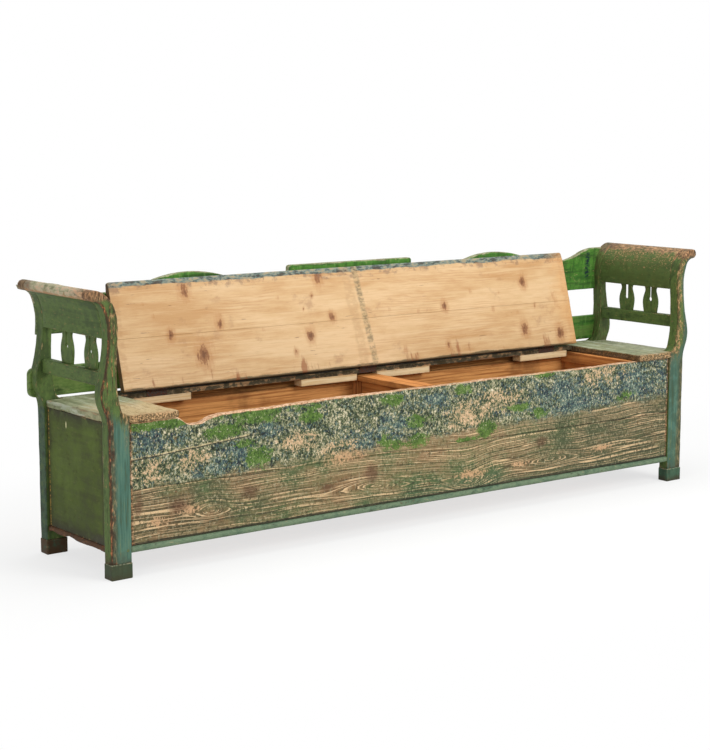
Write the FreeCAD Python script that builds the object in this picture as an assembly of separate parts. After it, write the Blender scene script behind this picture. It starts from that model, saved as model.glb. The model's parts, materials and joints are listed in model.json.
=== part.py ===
"""Pull-out bench bed: a painted pine settle with scrolled ends, a hinged seat lid and a bed box.

Lengths are millimetres. X runs along the bench with +X to the right seen from the front, Y runs
from the front (-Y) to the back (+Y), and Z is up. The origin lies on the floor, in the middle of
the bench's length and depth. The lid is drawn open, leaning on the back, as it stands at rest.
"""
import FreeCAD
import Part
import math
import os

V = FreeCAD.Vector

# Overall sizes
leg_span = 2300.0            # outer face of one leg to outer face of the other, along X
seat_height = 462.0          # top of the seat boards
seat_overhang = 6.0          # seat boards stand this far in front of the legs
overrun = 5.0                # how far a cutting shape runs past what it cuts

# Posts: a straight leg below the seat and an S-shaped arm above it
leg_width = 65.0
leg_thick = 40.0
post_depth = 420.0           # front face of the front legs to rear face of the back legs
swell_drop = 30.0            # below the seat, where the outer face starts to swell
knee_out = 22.0              # reach of the knee beyond the leg's outer face
knee_rise = 60.0             # heights of the arm are above the seat's top face
shin_out = 17.0              # outer face just above the knee
shin_rise = 94.0
neck_in = 4.0                # the neck lies this far inside the leg's outer face
neck_rise = 228.0
neck_thick = 30.0
throat_out = 10.0            # outer face under the scroll
throat_rise = 302.0
curl_out = 40.0              # centre of the scroll's round tip
curl_rise = 322.0            # underside of the scroll
crown_rise = 353.0           # top of the scroll
brow_out = 10.0              # inner face where the scroll rolls over
brow_rise = 344.0
hollow_in = 29.0             # inner face under the roll
hollow_rise = 290.0
waist_out = 37.0             # inner face at the knee, beyond the leg's inner face
waist_rise = 113.0
sweep_out = 25.0             # inner face just above the seat, beyond the leg's inner face
sweep_rise = 18.0
shoulder_drop = 1.0

# Feet: blocks spliced under the legs
foot_height = 45.0
foot_proud = 1.5
foot_dowel_radius = 10.0
foot_dowel_length = 24.0

# Rails round the bottom
rail_low = 70.0
rail_height = 20.0
rail_deep = 42.0
rail_bead = 4.0              # the bead stands this far in front of the board above it
rail_tenon_gap = 10.0        # from a long rail's tenon to the end rail's tenon in the same leg
end_rail_tenon = 12.0
rail_tenon_height = 12.0

# Ends below the seat
panel_thick = 18.0
panel_recess = 8.0           # the end panel lies behind the leg's outer face
panel_tongue = 8.0
panel_tongue_thick = 8.0

# Arms
crest_rise = 215.0           # bottom edge of the arm's crest board above the seat
arm_tenon = 22.0
arm_tenon_thick = 11.0
arm_tenon_margin = 12.0      # shoulder above and below a tenon
crest_tenon_height = 37.0
arm_rail_rise = 81.0
arm_rail_height = 41.0
arm_rail_thick = 26.0
arm_rail_setback = 4.0       # inner face of the rail behind the inner face of the post
splat_thick = 8.0
right_front_splat = 65.0     # centre lines of the splats in front of and behind the arm's middle
right_back_splat = 51.0
left_front_splat = 91.0
left_back_splat = 46.0
splat_tenon = 8.0
splat_belly = 70.0           # widest width of the vase shape
splat_width_shares = (0.84, 0.94, 1.0, 0.90, 0.77, 0.69, 0.73, 0.84)
splat_height_shares = (0.0, 0.20, 0.40, 0.62, 0.75, 0.845, 0.93, 1.0)
splat_slot_width = 9.0
splat_worn_slot_width = 15.0 # the right arm's back splat has a slot worn wide
splat_slot_share = 0.48      # part of the splat's height that the slot takes
splat_keyhole_radius = 8.0

# Seat
seat_thick = 21.0
seat_edge_round = 5.0
end_board_reach = 157.0      # inner edge of an end board beyond the leg's inner face
strip_thick = 15.0           # fixed strip behind the lid
lid_gap = 1.5                # beside the lid
hinge_gap = 3.0              # between the lid and the strip behind it
pin_height = 4.5             # hinge pin above the seat's top face
strip_depth = 82.5
batten_depth = 40.0
batten_height = 22.0
batten_length = 224.0
batten_bearer_gap = 3.5      # between a batten and the bearer that slides past it
batten_end_inset = 26.0      # outer end of a batten from the end board

# Back
back_thick = 22.0
back_proud = 12.0            # the back rails stand this far behind the back legs
back_upper_rise = 188.0      # heights of the back are above the seat's top face
back_plain_rise = 298.0      # top edge between the humps
back_ramp_rise = 337.0       # top edge beside the posts
back_ramp_start = 200.0      # from the leg's outer face inwards
back_ramp_end = 30.0
hump_place_share = 0.534     # middle of a hump between the raised block and the end ramp
hump_half_share = 0.408      # half a hump as a part of the same length
hump_rise = 345.0
block_half = 252.0           # raised block in the middle of the crest
block_rise = 345.0
block_corner = 10.0
back_lower_rise = 5.0
back_lower_height = 85.0
back_lower_end_out = 28.0    # rounded ends of the lower rail beyond the leg's outer face
back_lower_corner = 18.0
top_rail_height = 40.0
top_rail_thick = 24.0
rear_panel_thick = 16.0
rear_panel_inset = 6.0       # rear panel in front of the rear face of the top rail
rear_rail_inset = 11.0       # rear face of the top rail in front of the rear face of the legs

# Bed box
front_thick = 26.0
front_setback = 5.0          # face of the box front behind the front of the legs
front_side_gap = 2.0
slide_gap = 0.4              # clearance above and below the sliding box
front_joint_rise = 157.0     # joint between the two boards of the front, above the bottom rail
wear_half_width_shares = (-0.85, -0.84, -0.83, -0.805, -0.775, -0.755, -0.72, -0.65, -0.59, -0.5, -0.44)
wear_depth = 26.0            # depth of the worn notch at the left end of the top edge
wear_depth_shares = (0.0, 0.12, 0.85, 1.0, 1.0, 0.46, 0.22, 0.15, 0.15, 0.04, 0.0)
box_end_thick = 20.0
box_end_beyond = 17.0        # outer face of a box end beyond the seat's opening
box_back_thick = 20.0
box_back_gap = 4.0           # between the box and the top rail behind it
box_back_clear = 3.5         # top of the box back under the battens
bottom_thick = 12.0
bottom_board_count = 3
bottom_board_gap = 2.0
divider_thick = 20.0
bearer_width = 76.0
bearer_thick = 18.0
end_cleat_thick = 20.0
end_cleat_height = 37.0
divider_strip_width = 26.0
divider_strip_deep = 20.0
box_travel = 300.0

# Runners under the box
runner_height = 18.0
runner_width = 55.0
runner_beyond = 25.0         # outer side of a runner beyond the box end
runner_tenon = 8.0
centre_runner_width = 60.0
guide_gap = 1.5
guide_height = 22.0

# Lid boards
lid_joint_share = 0.47       # the joint between the lid's two boards, from the hinge edge
lid_edge_round = 8.0
lid_tongue_deep = 4.0        # how far the tongue enters each board
lid_tongue_thick = 6.0
lid_lean_gap = 0.4

# Hinges
hinge_count = 3
hinge_end_inset = 128.0      # middle of an end hinge from the end of the lid
hinge_length = 70.0
hinge_leaf_thick = 1.4
hinge_leaf_height = 14.0
hinge_knuckle_radius = 4.0
hinge_knuckle_count = 5
hinge_pin_radius = 1.75
hinge_bore_clearance = 0.05
hinge_end_gap = 0.3          # between neighbouring knuckles
hinge_screw_radius = 1.6
hinge_screw_length = 20.0
hinge_screw_head = 3.2
hinge_screw_spacing = 46.0
hinge_screw_drop = 9.0       # screws below the seat's top face

# Pegs and nails
peg_radius = 5.0
rail_peg_radius = 4.0
nail_radius = 2.0
nail_head_radius = 4.5
nail_head_thick = 1.6
nail_length = 38.0
nail_inset = 20.0

# Places that follow from the sizes above
leg_out = leg_span / 2
leg_in = leg_out - leg_width
total_depth = seat_overhang + post_depth + back_proud
seat_front = -total_depth / 2
leg_front = seat_front + seat_overhang
leg_back = leg_front + post_depth
front_post_back = leg_front + leg_thick
back_post_front = leg_back - leg_thick
back_rear = leg_back + back_proud
back_front = back_rear - back_thick
rail_top = rail_low + rail_height
seat_low = seat_height - seat_thick
strip_low = seat_height - strip_thick
strip_front = back_front - strip_depth
lid_rear = strip_front - hinge_gap
pin_depth = (strip_front + lid_rear) / 2
box_face = leg_front + front_setback
box_inside = box_face + front_thick
box_top = seat_low - slide_gap
box_low = rail_top + slide_gap
seat_opening_half = leg_in - end_board_reach
box_end_out = seat_opening_half + box_end_beyond
front_joint_height = rail_top + front_joint_rise
crest_low = seat_height + crest_rise
arm_rail_low = seat_height + arm_rail_rise
back_upper_low = seat_height + back_upper_rise
back_upper_plain = seat_height + back_plain_rise
back_ramp_top = seat_height + back_ramp_rise
back_lower_low = seat_height + back_lower_rise
back_lower_high = back_lower_low + back_lower_height
hump_room = leg_out - back_ramp_start - block_half
hump_centre = block_half + hump_room * hump_place_share
hump_half = hump_room * hump_half_share
hump_top = seat_height + hump_rise
block_top = seat_height + block_rise
top_height = seat_height + crown_rise
curl_reach = leg_out + curl_out + (crown_rise - curl_rise) / 2
top_rail_rear = leg_back - rear_rail_inset
top_rail_front = top_rail_rear - top_rail_thick
top_rail_low = strip_low - top_rail_height
box_rear = top_rail_front - box_back_gap
box_back_front = box_rear - box_back_thick
batten_low = strip_low - batten_height
box_back_top = batten_low - box_back_clear
box_floor = box_low + bottom_thick
panel_out = leg_out - panel_recess
panel_in = panel_out - panel_thick
pin_z = seat_height + pin_height

os.makedirs("parts", exist_ok=True)
made = {}


def save(name, shape):
    """Writes one piece, or one group of like pieces, to its own file."""
    shape = shape.removeSplitter() if shape.ShapeType != "Compound" else shape
    made[name] = shape
    shape.exportStep("parts/" + name + ".step")


def block(x0, x1, y0, y1, z0, z1):
    """A plain block between two corners."""
    return Part.makeBox(x1 - x0, y1 - y0, z1 - z0, V(x0, y0, z0))


def rod(start, direction, radius, length):
    """A round rod from a point along a direction."""
    return Part.makeCylinder(radius, length, start, direction)


def mirrored(shape):
    """The same piece at the other end of the bench."""
    return shape.mirror(V(0, 0, 0), V(1, 0, 0))


def save_pair(name, right):
    """Writes the right piece and its mirror image at the left."""
    save(name + "_right", right)
    save(name + "_left", mirrored(right))


def along_y(edges, y0, y1):
    """A closed outline in the XZ plane drawn out from y0 to y1."""
    face = Part.Face(Part.Wire(edges))
    face.translate(V(0, y0, 0))
    return face.extrude(V(0, y1 - y0, 0))


def rounded_front(board, radius):
    """Rounds the two long front edges of a plain board."""
    front = board.BoundBox.YMin + radius
    long_edges = [
        edge for edge in board.Edges if edge.BoundBox.YMax < front and edge.BoundBox.XLength > radius
    ]
    return board.makeFillet(radius, long_edges)


def arc_chain(points, tangent):
    """Arcs through points, each starting in the direction in which the last one ended."""
    edges = []
    for start, end in zip(points, points[1:]):
        chord = end - start
        along = V(chord).normalize()
        turn = math.atan2(tangent.cross(along).y, tangent.dot(along))
        side = along.cross(V(0, 1, 0))
        middle = (start + end) / 2 + side * (chord.Length / 2 * math.tan(turn / 2))
        edges.append(Part.Arc(start, middle, end).toShape())
        tangent = along * (2 * along.dot(tangent)) - tangent
    return edges


def arm_outer():
    """The outer edge of a right-hand arm, from the top of the leg to the crown of its scroll."""
    swell_mid = (knee_rise - swell_drop) / 2
    outs = (0, knee_out / 2, knee_out, shin_out, -neck_in, throat_out, curl_out, curl_out)
    rises = (-swell_drop, swell_mid, knee_rise, shin_rise)
    rises += (neck_rise, throat_rise, curl_rise, crown_rise)
    points = [V(leg_out + x, 0, seat_height + z) for x, z in zip(outs, rises)]
    return arc_chain(points, V(0, 0, 1))


def post_edges():
    """The outline of a right-hand post above its foot."""
    faces = (leg_out, leg_out, leg_out, leg_out, leg_in, leg_in, leg_in)
    outs = (curl_out, brow_out, -hollow_in, -neck_in - neck_thick, waist_out, sweep_out, 0)
    rises = (crown_rise, brow_rise, hollow_rise, neck_rise, waist_rise, sweep_rise, -shoulder_drop)
    inner = [V(face + x, 0, seat_height + z) for face, x, z in zip(faces, outs, rises)]
    swell = V(leg_out, 0, seat_height - swell_drop)
    edges = [Part.makeLine(V(leg_out, 0, foot_height), swell)] + arm_outer()
    edges += arc_chain(inner, V(-1, 0, 0))
    edges.append(Part.makeLine(inner[-1], V(leg_in, 0, foot_height)))
    edges.append(Part.makeLine(V(leg_in, 0, foot_height), V(leg_out, 0, foot_height)))
    return edges


def reach(y0, y1):
    """All the room between the outer edges of the two arms."""
    crown = V(leg_out + curl_out, 0, top_height)
    middle_top = V(0, 0, top_height)
    middle_low = V(0, 0, seat_height - swell_drop)
    edges = arm_outer() + [
        Part.makeLine(crown, middle_top),
        Part.makeLine(middle_top, middle_low),
        Part.makeLine(middle_low, V(leg_out, 0, seat_height - swell_drop)),
    ]
    half = along_y(edges, y0, y1)
    return half.fuse(mirrored(half)).removeSplitter()


def nail(x, y, z, direction):
    """A nail driven along a direction until its round head is flush with the face."""
    head = rod(V(x, y, z), direction, nail_head_radius, nail_head_thick)
    return head.fuse(rod(V(x, y, z), direction, nail_radius, nail_length))


# What each post is mortised for: the tenons and tongues that enter it
entering = {"front": [], "back": []}


# Bottom rails: a bead along the outer edge and a tenon at each end
def bottom_rail(length, tenon):
    """A rail along X with its beaded edge at y = 0, centred on x = 0, and its two tenons."""
    bead = rail_height / 2
    tongue_low = (rail_height - rail_tenon_height) / 2
    tongue_front = (rail_deep - rail_tenon_height) / 2
    tongue_back = tongue_front + rail_tenon_height
    tongue_top = tongue_low + rail_tenon_height
    end = length / 2
    body = block(-end, end, bead, rail_deep, 0, rail_height)
    nose = rod(V(-end, bead, bead), V(1, 0, 0), bead, length)
    body = body.fuse(nose).removeSplitter()
    tongue = block(-end - tenon, end + tenon, tongue_front, tongue_back, tongue_low, tongue_top)
    return body.fuse(tongue).removeSplitter(), tongue


end_tongue_in = panel_out + rail_bead - (rail_deep + rail_tenon_height) / 2
long_tenon = end_tongue_in - rail_tenon_gap - leg_in
front_rail, front_tongue = bottom_rail(2 * leg_in, long_tenon)
rear_rail, rear_tongue = bottom_rail(2 * leg_in, long_tenon)
end_rail, end_tongue = bottom_rail(back_post_front - front_post_back, end_rail_tenon)
rear_rail_face = leg_back - rear_rail_inset + rail_bead
post_middle = (front_post_back + back_post_front) / 2
for shape in (front_rail, front_tongue):
    shape.translate(V(0, box_face - rail_bead, rail_low))
for shape in (rear_rail, rear_tongue):
    shape.rotate(V(0, 0, 0), V(0, 0, 1), 180)
    shape.translate(V(0, rear_rail_face, rail_low))
for shape in (end_rail, end_tongue):
    shape.rotate(V(0, 0, 0), V(0, 0, 1), 90)
    shape.translate(V(panel_out + rail_bead, post_middle, rail_low))
front_rail_inside = box_face - rail_bead + rail_deep
rear_rail_inside = rear_rail_face - rail_deep
entering["front"] += [front_tongue, end_tongue]
entering["back"] += [rear_tongue, end_tongue]

# End panels under the seat, with tongues into the legs
tongue_in = panel_in + (panel_thick - panel_tongue_thick) / 2
end_panel_tongue = block(
    tongue_in,
    tongue_in + panel_tongue_thick,
    front_post_back - panel_tongue,
    back_post_front + panel_tongue,
    rail_top,
    seat_low,
)
end_panel = block(panel_in, panel_out, front_post_back, back_post_front, rail_top, seat_low)
end_panel = end_panel.fuse(end_panel_tongue).removeSplitter()
entering["front"].append(end_panel_tongue)
entering["back"].append(end_panel_tongue)

# Rail under the rear of the seat, and the panel below it
tenon_y0 = top_rail_front + (top_rail_thick - arm_tenon_thick) / 2
top_rail_tongue = block(
    -leg_in - long_tenon,
    leg_in + long_tenon,
    tenon_y0,
    tenon_y0 + arm_tenon_thick,
    top_rail_low + arm_tenon_margin / 2,
    strip_low - arm_tenon_margin,
)
top_rail = block(-leg_in, leg_in, top_rail_front, top_rail_rear, top_rail_low, strip_low)
top_rail = top_rail.fuse(top_rail_tongue).removeSplitter()
rear_panel_y1 = top_rail_rear - rear_panel_inset
rear_panel_y0 = rear_panel_y1 - rear_panel_thick
tongue_y0 = rear_panel_y0 + (rear_panel_thick - panel_tongue_thick) / 2
rear_panel_tongue = block(
    -leg_in - panel_tongue,
    leg_in + panel_tongue,
    tongue_y0,
    tongue_y0 + panel_tongue_thick,
    rail_top,
    top_rail_low,
)
rear_panel = block(-leg_in, leg_in, rear_panel_y0, rear_panel_y1, rail_top, top_rail_low)
rear_panel = rear_panel.fuse(rear_panel_tongue).removeSplitter()
entering["back"] += [top_rail_tongue, rear_panel_tongue]


# Rails of the back, let into the rear of the posts
def hump(centre):
    """The edge over one hump of the crest, drawn from its outer foot to its inner foot."""
    foot_z = back_upper_plain
    rise = hump_top - foot_z
    quarter = hump_half / 2
    points = [
        V(centre + hump_half, 0, foot_z),
        V(centre + quarter, 0, foot_z + rise / 2),
        V(centre, 0, hump_top),
        V(centre - quarter, 0, foot_z + rise / 2),
        V(centre - hump_half, 0, foot_z),
    ]
    return arc_chain(points, V(-1, 0, 0))


def crest_half():
    """The right half of the back's shaped upper rail, before its end is cut to the arm."""
    outer_low = V(curl_reach, 0, back_upper_low)
    outer_high = V(curl_reach, 0, back_ramp_top)
    ramp_high = V(leg_out - back_ramp_end, 0, back_ramp_top)
    ramp_low = V(leg_out - back_ramp_start, 0, back_upper_plain)
    hump_foot = V(hump_centre + hump_half, 0, back_upper_plain)
    hump_inner = V(hump_centre - hump_half, 0, back_upper_plain)
    block_foot = V(block_half, 0, back_upper_plain)
    corner_low = V(block_half, 0, block_top - block_corner)
    corner_high = V(block_half - block_corner, 0, block_top)
    middle_top = V(0, 0, block_top)
    middle_low = V(0, 0, back_upper_low)
    edges = [
        Part.makeLine(middle_low, outer_low),
        Part.makeLine(outer_low, outer_high),
        Part.makeLine(outer_high, ramp_high),
    ]
    edges += arc_chain([ramp_high, (ramp_high + ramp_low) / 2, ramp_low], V(-1, 0, 0))
    edges.append(Part.makeLine(ramp_low, hump_foot))
    edges += hump(hump_centre)
    edges.append(Part.makeLine(hump_inner, block_foot))
    edges.append(Part.makeLine(block_foot, corner_low))
    edges += arc_chain([corner_low, corner_high], V(0, 0, 1))
    edges.append(Part.makeLine(corner_high, middle_top))
    edges.append(Part.makeLine(middle_top, middle_low))
    return along_y(edges, back_front, back_rear)


inside = reach(back_front, back_rear)
half_crest = crest_half()
back_upper = half_crest.fuse(mirrored(half_crest)).removeSplitter().common(inside)
lower_end = leg_out + back_lower_end_out
back_lower = block(-lower_end, lower_end, back_front, back_rear, back_lower_low, back_lower_high)
corners = [edge for edge in back_lower.Edges if edge.BoundBox.YLength > back_thick / 2]
back_lower = back_lower.makeFillet(back_lower_corner, corners)
for low, high in ((back_upper_low, back_ramp_top), (back_lower_low, back_lower_high)):
    housing = block(leg_in, curl_reach + overrun, back_front, back_rear, low, high)
    entering["back"].append(housing)

# Arm crest boards: the arm's own outline between the posts, tenoned into them
neck_mid = leg_out - neck_in - neck_thick / 2
crest_full = along_y(post_edges(), front_post_back, back_post_front)
below = block(0, curl_reach + overrun, leg_front, leg_back, 0, crest_low)
crest_tongue = block(
    neck_mid - arm_tenon_thick / 2,
    neck_mid + arm_tenon_thick / 2,
    front_post_back - arm_tenon,
    back_post_front + arm_tenon,
    crest_low + arm_tenon_margin,
    crest_low + arm_tenon_margin + crest_tenon_height,
)
arm_crest = crest_full.cut(below).fuse(crest_tongue).removeSplitter()

# Lower arm rails
arm_rail_in = leg_in + waist_out + arm_rail_setback
arm_rail_mid = arm_rail_in + arm_rail_thick / 2
arm_rail_out = arm_rail_in + arm_rail_thick
arm_rail_top = arm_rail_low + arm_rail_height
rail_tongue = block(
    arm_rail_mid - arm_tenon_thick / 2,
    arm_rail_mid + arm_tenon_thick / 2,
    front_post_back - arm_tenon,
    back_post_front + arm_tenon,
    arm_rail_low + arm_tenon_margin / 2,
    arm_rail_top - arm_tenon_margin / 2,
)
arm_rail = block(arm_rail_in, arm_rail_out, front_post_back, back_post_front, arm_rail_low, arm_rail_top)
arm_rail = arm_rail.fuse(rail_tongue).removeSplitter()
entering["front"] += [crest_tongue, rail_tongue]
entering["back"] += [crest_tongue, rail_tongue]


def splat(y, slot_width):
    """A vase-shaped splat with a keyhole slot, centred at depth y, and its two end tongues."""
    low, high = arm_rail_top, crest_low
    tall = high - low
    half = splat_belly / 2
    x0 = (neck_mid + arm_rail_mid - splat_thick) / 2
    x1 = x0 + splat_thick
    side = [V(x0, y + half * w, low + tall * h) for w, h in zip(splat_width_shares, splat_height_shares)]
    other = [V(x0, 2 * y - p.y, p.z) for p in reversed(side)]
    curves = []
    for points in (side, other):
        curve = Part.BSplineCurve()
        curve.interpolate(Points=points)
        curves.append(curve.toShape())
    edges = [
        curves[0],
        Part.makeLine(side[-1], other[0]),
        curves[1],
        Part.makeLine(other[-1], side[0]),
    ]
    body = Part.Face(Part.Wire(edges)).extrude(V(splat_thick, 0, 0))
    neck = half * min(splat_width_shares)
    tongues = [
        block(x0, x1, y - neck, y + neck, low - splat_tenon, low),
        block(x0, x1, y - neck, y + neck, high, high + splat_tenon),
    ]
    slot_low = high - tall * splat_slot_share
    slot_half = slot_width / 2
    slot = block(x0 - overrun, x1 + overrun, y - slot_half, y + slot_half, slot_low, high + splat_tenon)
    hole = rod(V(x0 - overrun, y, slot_low), V(1, 0, 0), splat_keyhole_radius, splat_thick + 2 * overrun)
    body = body.fuse(tongues).cut([slot, hole]).removeSplitter()
    return body, tongues


splats, arm_rails, arm_crests = {}, {}, {}
splat_places = {
    "right": (-right_front_splat, right_back_splat),
    "left": (-left_front_splat, left_back_splat),
}
slot_widths = {
    "right": (splat_slot_width, splat_worn_slot_width),
    "left": (splat_slot_width, splat_slot_width),
}
for side in splat_places:
    arm_rails[side], arm_crests[side] = arm_rail, arm_crest
    for place, shift, slot_width in zip(("front", "back"), splat_places[side], slot_widths[side]):
        body, tongues = splat(post_middle + shift, slot_width)
        splats[place + "_" + side] = body
        arm_rails[side] = arm_rails[side].cut(tongues[0])
        arm_crests[side] = arm_crests[side].cut(tongues[1])

# Feet, each with a dowel up into its leg
feet = {}
for place, y0 in (("front", leg_front), ("back", back_post_front)):
    y1 = y0 + leg_thick
    foot = block(
        leg_in - foot_proud, leg_out + foot_proud, y0 - foot_proud, y1 + foot_proud, 0, foot_height
    )
    dowel_at = V((leg_in + leg_out) / 2, (y0 + y1) / 2, foot_height)
    dowel = rod(dowel_at, V(0, 0, 1), foot_dowel_radius, foot_dowel_length)
    entering[place].append(dowel)
    feet[place] = foot.fuse(dowel).removeSplitter()

# Seat boards that stay on the frame, notched round the posts and over the rail
end_board = block(seat_opening_half, panel_out, seat_front, back_front, seat_low, seat_height)
end_board = rounded_front(end_board, seat_edge_round)
notch_out = panel_out + overrun
notch_low = seat_low - overrun
notch_top = seat_height + overrun
beside_front = block(leg_in, notch_out, seat_front - overrun, front_post_back, notch_low, notch_top)
beside_back = block(leg_in, notch_out, back_post_front, back_front + overrun, notch_low, notch_top)
end_board = end_board.cut([beside_front, beside_back, top_rail])
strip = block(-seat_opening_half, seat_opening_half, strip_front, back_front, strip_low, seat_height)

# Battens under the strip
batten_inner_start = bearer_width / 2 + batten_bearer_gap
batten_outer_end = seat_opening_half - batten_end_inset
batten_y1 = strip_front + batten_depth
battens = {}
for place, x0 in (("inner", batten_inner_start), ("outer", batten_outer_end - batten_length)):
    battens[place] = block(x0, x0 + batten_length, strip_front, batten_y1, batten_low, strip_low)

# Runners for the box, let into the bottom rails; the side ones have a guide along the outside
runner_low = rail_top - runner_height
runner_tongue_low = runner_low + (runner_height - rail_tenon_height) / 2
runner_out = box_end_out + runner_beyond


def runner(x0, x1):
    """A runner from the front rail to the rear rail, and the tenon that goes through it."""
    body = block(x0, x1, front_rail_inside, rear_rail_inside, runner_low, rail_top)
    tongue = block(
        x0,
        x1,
        front_rail_inside - runner_tenon,
        rear_rail_inside + runner_tenon,
        runner_tongue_low,
        runner_tongue_low + rail_tenon_height,
    )
    return body.fuse(tongue).removeSplitter(), tongue


guide_in = box_end_out + guide_gap
guide_top = rail_top + guide_height
guide = block(guide_in, runner_out, front_rail_inside, rear_rail_inside, rail_top, guide_top)
side_runner, side_tongue = runner(runner_out - runner_width, runner_out)
side_runner = side_runner.fuse(guide).removeSplitter()
centre_runner, centre_tongue = runner(-centre_runner_width / 2, centre_runner_width / 2)
runner_tongues = [side_tongue, mirrored(side_tongue), centre_tongue]
front_rail = front_rail.cut(runner_tongues)
rear_rail = rear_rail.cut(runner_tongues)

# Bed box: front of two boards, the upper one with a worn top edge
front_half = leg_in - front_side_gap
front_lower = block(-front_half, front_half, box_face, box_inside, box_low, front_joint_height)
wear = [
    V(front_half * x, 0, box_top - wear_depth * d)
    for x, d in zip(wear_half_width_shares, wear_depth_shares)
]
wear_curve = Part.BSplineCurve()
wear_curve.buildFromPoles(wear)
left_top = V(-front_half, 0, box_top)
left_low = V(-front_half, 0, front_joint_height)
right_top = V(front_half, 0, box_top)
right_low = V(front_half, 0, front_joint_height)
front_edges = [
    Part.makeLine(left_low, left_top),
    Part.makeLine(left_top, wear[0]),
    wear_curve.toShape(),
    Part.makeLine(wear[-1], right_top),
    Part.makeLine(right_top, right_low),
    Part.makeLine(right_low, left_low),
]
front_upper = along_y(front_edges, box_face, box_inside)

# Bed box: ends, back, bottom, and a divider with a wide bearer on top
box_end_in = box_end_out - box_end_thick
cleat_in = box_end_in - end_cleat_thick
cleat_low = box_top - end_cleat_height
divider_top = box_top - bearer_thick
strip_out = divider_thick / 2 + divider_strip_width
strip_y0 = box_back_front - divider_strip_deep
box_end = block(box_end_in, box_end_out, box_inside, box_rear, box_low, box_top)
box_cleat = block(cleat_in, box_end_in, box_inside, box_back_front, cleat_low, box_top)
box_back = block(-box_end_in, box_end_in, box_back_front, box_rear, box_floor, box_back_top)
divider = block(-divider_thick / 2, divider_thick / 2, box_inside, box_back_front, box_floor, divider_top)
bearer = block(-bearer_width / 2, bearer_width / 2, box_inside, box_rear, divider_top, box_top)
divider_strip = block(divider_thick / 2, strip_out, strip_y0, box_back_front, box_floor, divider_top)
if box_back_top > divider_top:
    box_back = box_back.cut(bearer)
box_deep = box_rear - box_inside
board_deep = (box_deep - bottom_board_gap * (bottom_board_count - 1)) / bottom_board_count
bottom_boards = []
for i in range(bottom_board_count):
    y0 = box_inside + (board_deep + bottom_board_gap) * i
    bottom_boards.append(block(-box_end_in, box_end_in, y0, y0 + board_deep, box_low, box_floor))

# Lid: two boards joined by a tongue, drawn shut first and then opened
lid_half = seat_opening_half - lid_gap
lid_depth = lid_rear - seat_front
lid_joint = lid_rear - lid_depth * lid_joint_share
tongue_mid = seat_height - seat_thick / 2
lid_tongue = block(
    -lid_half,
    lid_half,
    lid_joint - lid_tongue_deep,
    lid_joint + lid_tongue_deep,
    tongue_mid - lid_tongue_thick / 2,
    tongue_mid + lid_tongue_thick / 2,
)
lid_front_board = block(-lid_half, lid_half, seat_front, lid_joint, seat_low, seat_height)
lid_front_board = rounded_front(lid_front_board, lid_edge_round).fuse(lid_tongue).removeSplitter()
lid_rear_board = block(-lid_half, lid_half, lid_joint, lid_rear, seat_low, seat_height).cut(lid_tongue)

# Hinges: one leaf on the rear edge of the lid, one on the front edge of the strip
leaf_low = seat_height - hinge_leaf_height
segment = hinge_length / hinge_knuckle_count
hinge_reach = seat_opening_half - hinge_end_inset
hinge_places = [hinge_reach * (2 * i / (hinge_count - 1) - 1) for i in range(hinge_count)]
pin_line = V(0, pin_depth, pin_z)
along = V(1, 0, 0)


def hinge_leaf(x, edge, side, first):
    """A leaf with its knuckles; side is -1 for the lid's leaf and 1 for the frame's."""
    y0 = min(edge, edge - side * hinge_leaf_thick)
    x0 = x - hinge_length / 2
    plate = block(x0, x0 + hinge_length, y0, y0 + hinge_leaf_thick, leaf_low, pin_z)
    own, others = [], []
    for i in range(hinge_knuckle_count):
        start = x0 + segment * i
        if i % 2 == first:
            at = V(start + hinge_end_gap / 2, pin_depth, pin_z)
            own.append(rod(at, along, hinge_knuckle_radius, segment - hinge_end_gap))
        else:
            at = V(start - hinge_end_gap / 2, pin_depth, pin_z)
            others.append(rod(at, along, hinge_knuckle_radius + hinge_end_gap, segment + hinge_end_gap))
    bore_start = V(x0 - overrun, pin_depth, pin_z)
    bore_radius = hinge_pin_radius + hinge_bore_clearance
    bore = rod(bore_start, along, bore_radius, hinge_length + 2 * overrun)
    return plate.cut(others).fuse(own).removeSplitter().cut(bore)


def hinge_screws(x, edge, side):
    """Two countersunk screws through a leaf into the board behind it."""
    face = edge - side * hinge_leaf_thick
    direction = V(0, side, 0)
    screws = []
    for shift in (-hinge_screw_spacing / 2, hinge_screw_spacing / 2):
        at = V(x + shift, face, seat_height - hinge_screw_drop)
        head = Part.makeCone(hinge_screw_head, hinge_screw_radius, hinge_leaf_thick, at, direction)
        screws.append(head.fuse(rod(at, direction, hinge_screw_radius, hinge_screw_length)))
    return screws


lid_leaves, frame_leaves, pins, lid_screws, frame_screws = [], [], [], [], []
for x in hinge_places:
    lid_leaves.append(hinge_leaf(x, lid_rear, -1, 1))
    frame_leaves.append(hinge_leaf(x, strip_front, 1, 0))
    pins.append(rod(V(x - hinge_length / 2, pin_depth, pin_z), along, hinge_pin_radius, hinge_length))
    lid_screws += hinge_screws(x, lid_rear, -1)
    frame_screws += hinge_screws(x, strip_front, 1)
lid_leaves = [leaf.cut(lid_screws) for leaf in lid_leaves]
frame_leaves = [leaf.cut(frame_screws) for leaf in frame_leaves]
lid_rear_board = lid_rear_board.cut(lid_screws)
strip = strip.cut(frame_screws)

# The open angle: the free edge comes to rest just before the upper rail of the back
arm_length = pin_depth - seat_front
lean = back_front - lid_lean_gap - pin_depth
free_radius = math.hypot(arm_length, pin_height)
corner_angle = math.degrees(math.atan2(pin_height, arm_length))
open_angle = 90 + math.degrees(math.asin(lean / free_radius)) + corner_angle


def opened(shape):
    """Turns a piece of the lid from shut to its open place on the pin."""
    shape = shape.copy()
    shape.rotate(pin_line, along, -open_angle)
    return shape


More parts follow.
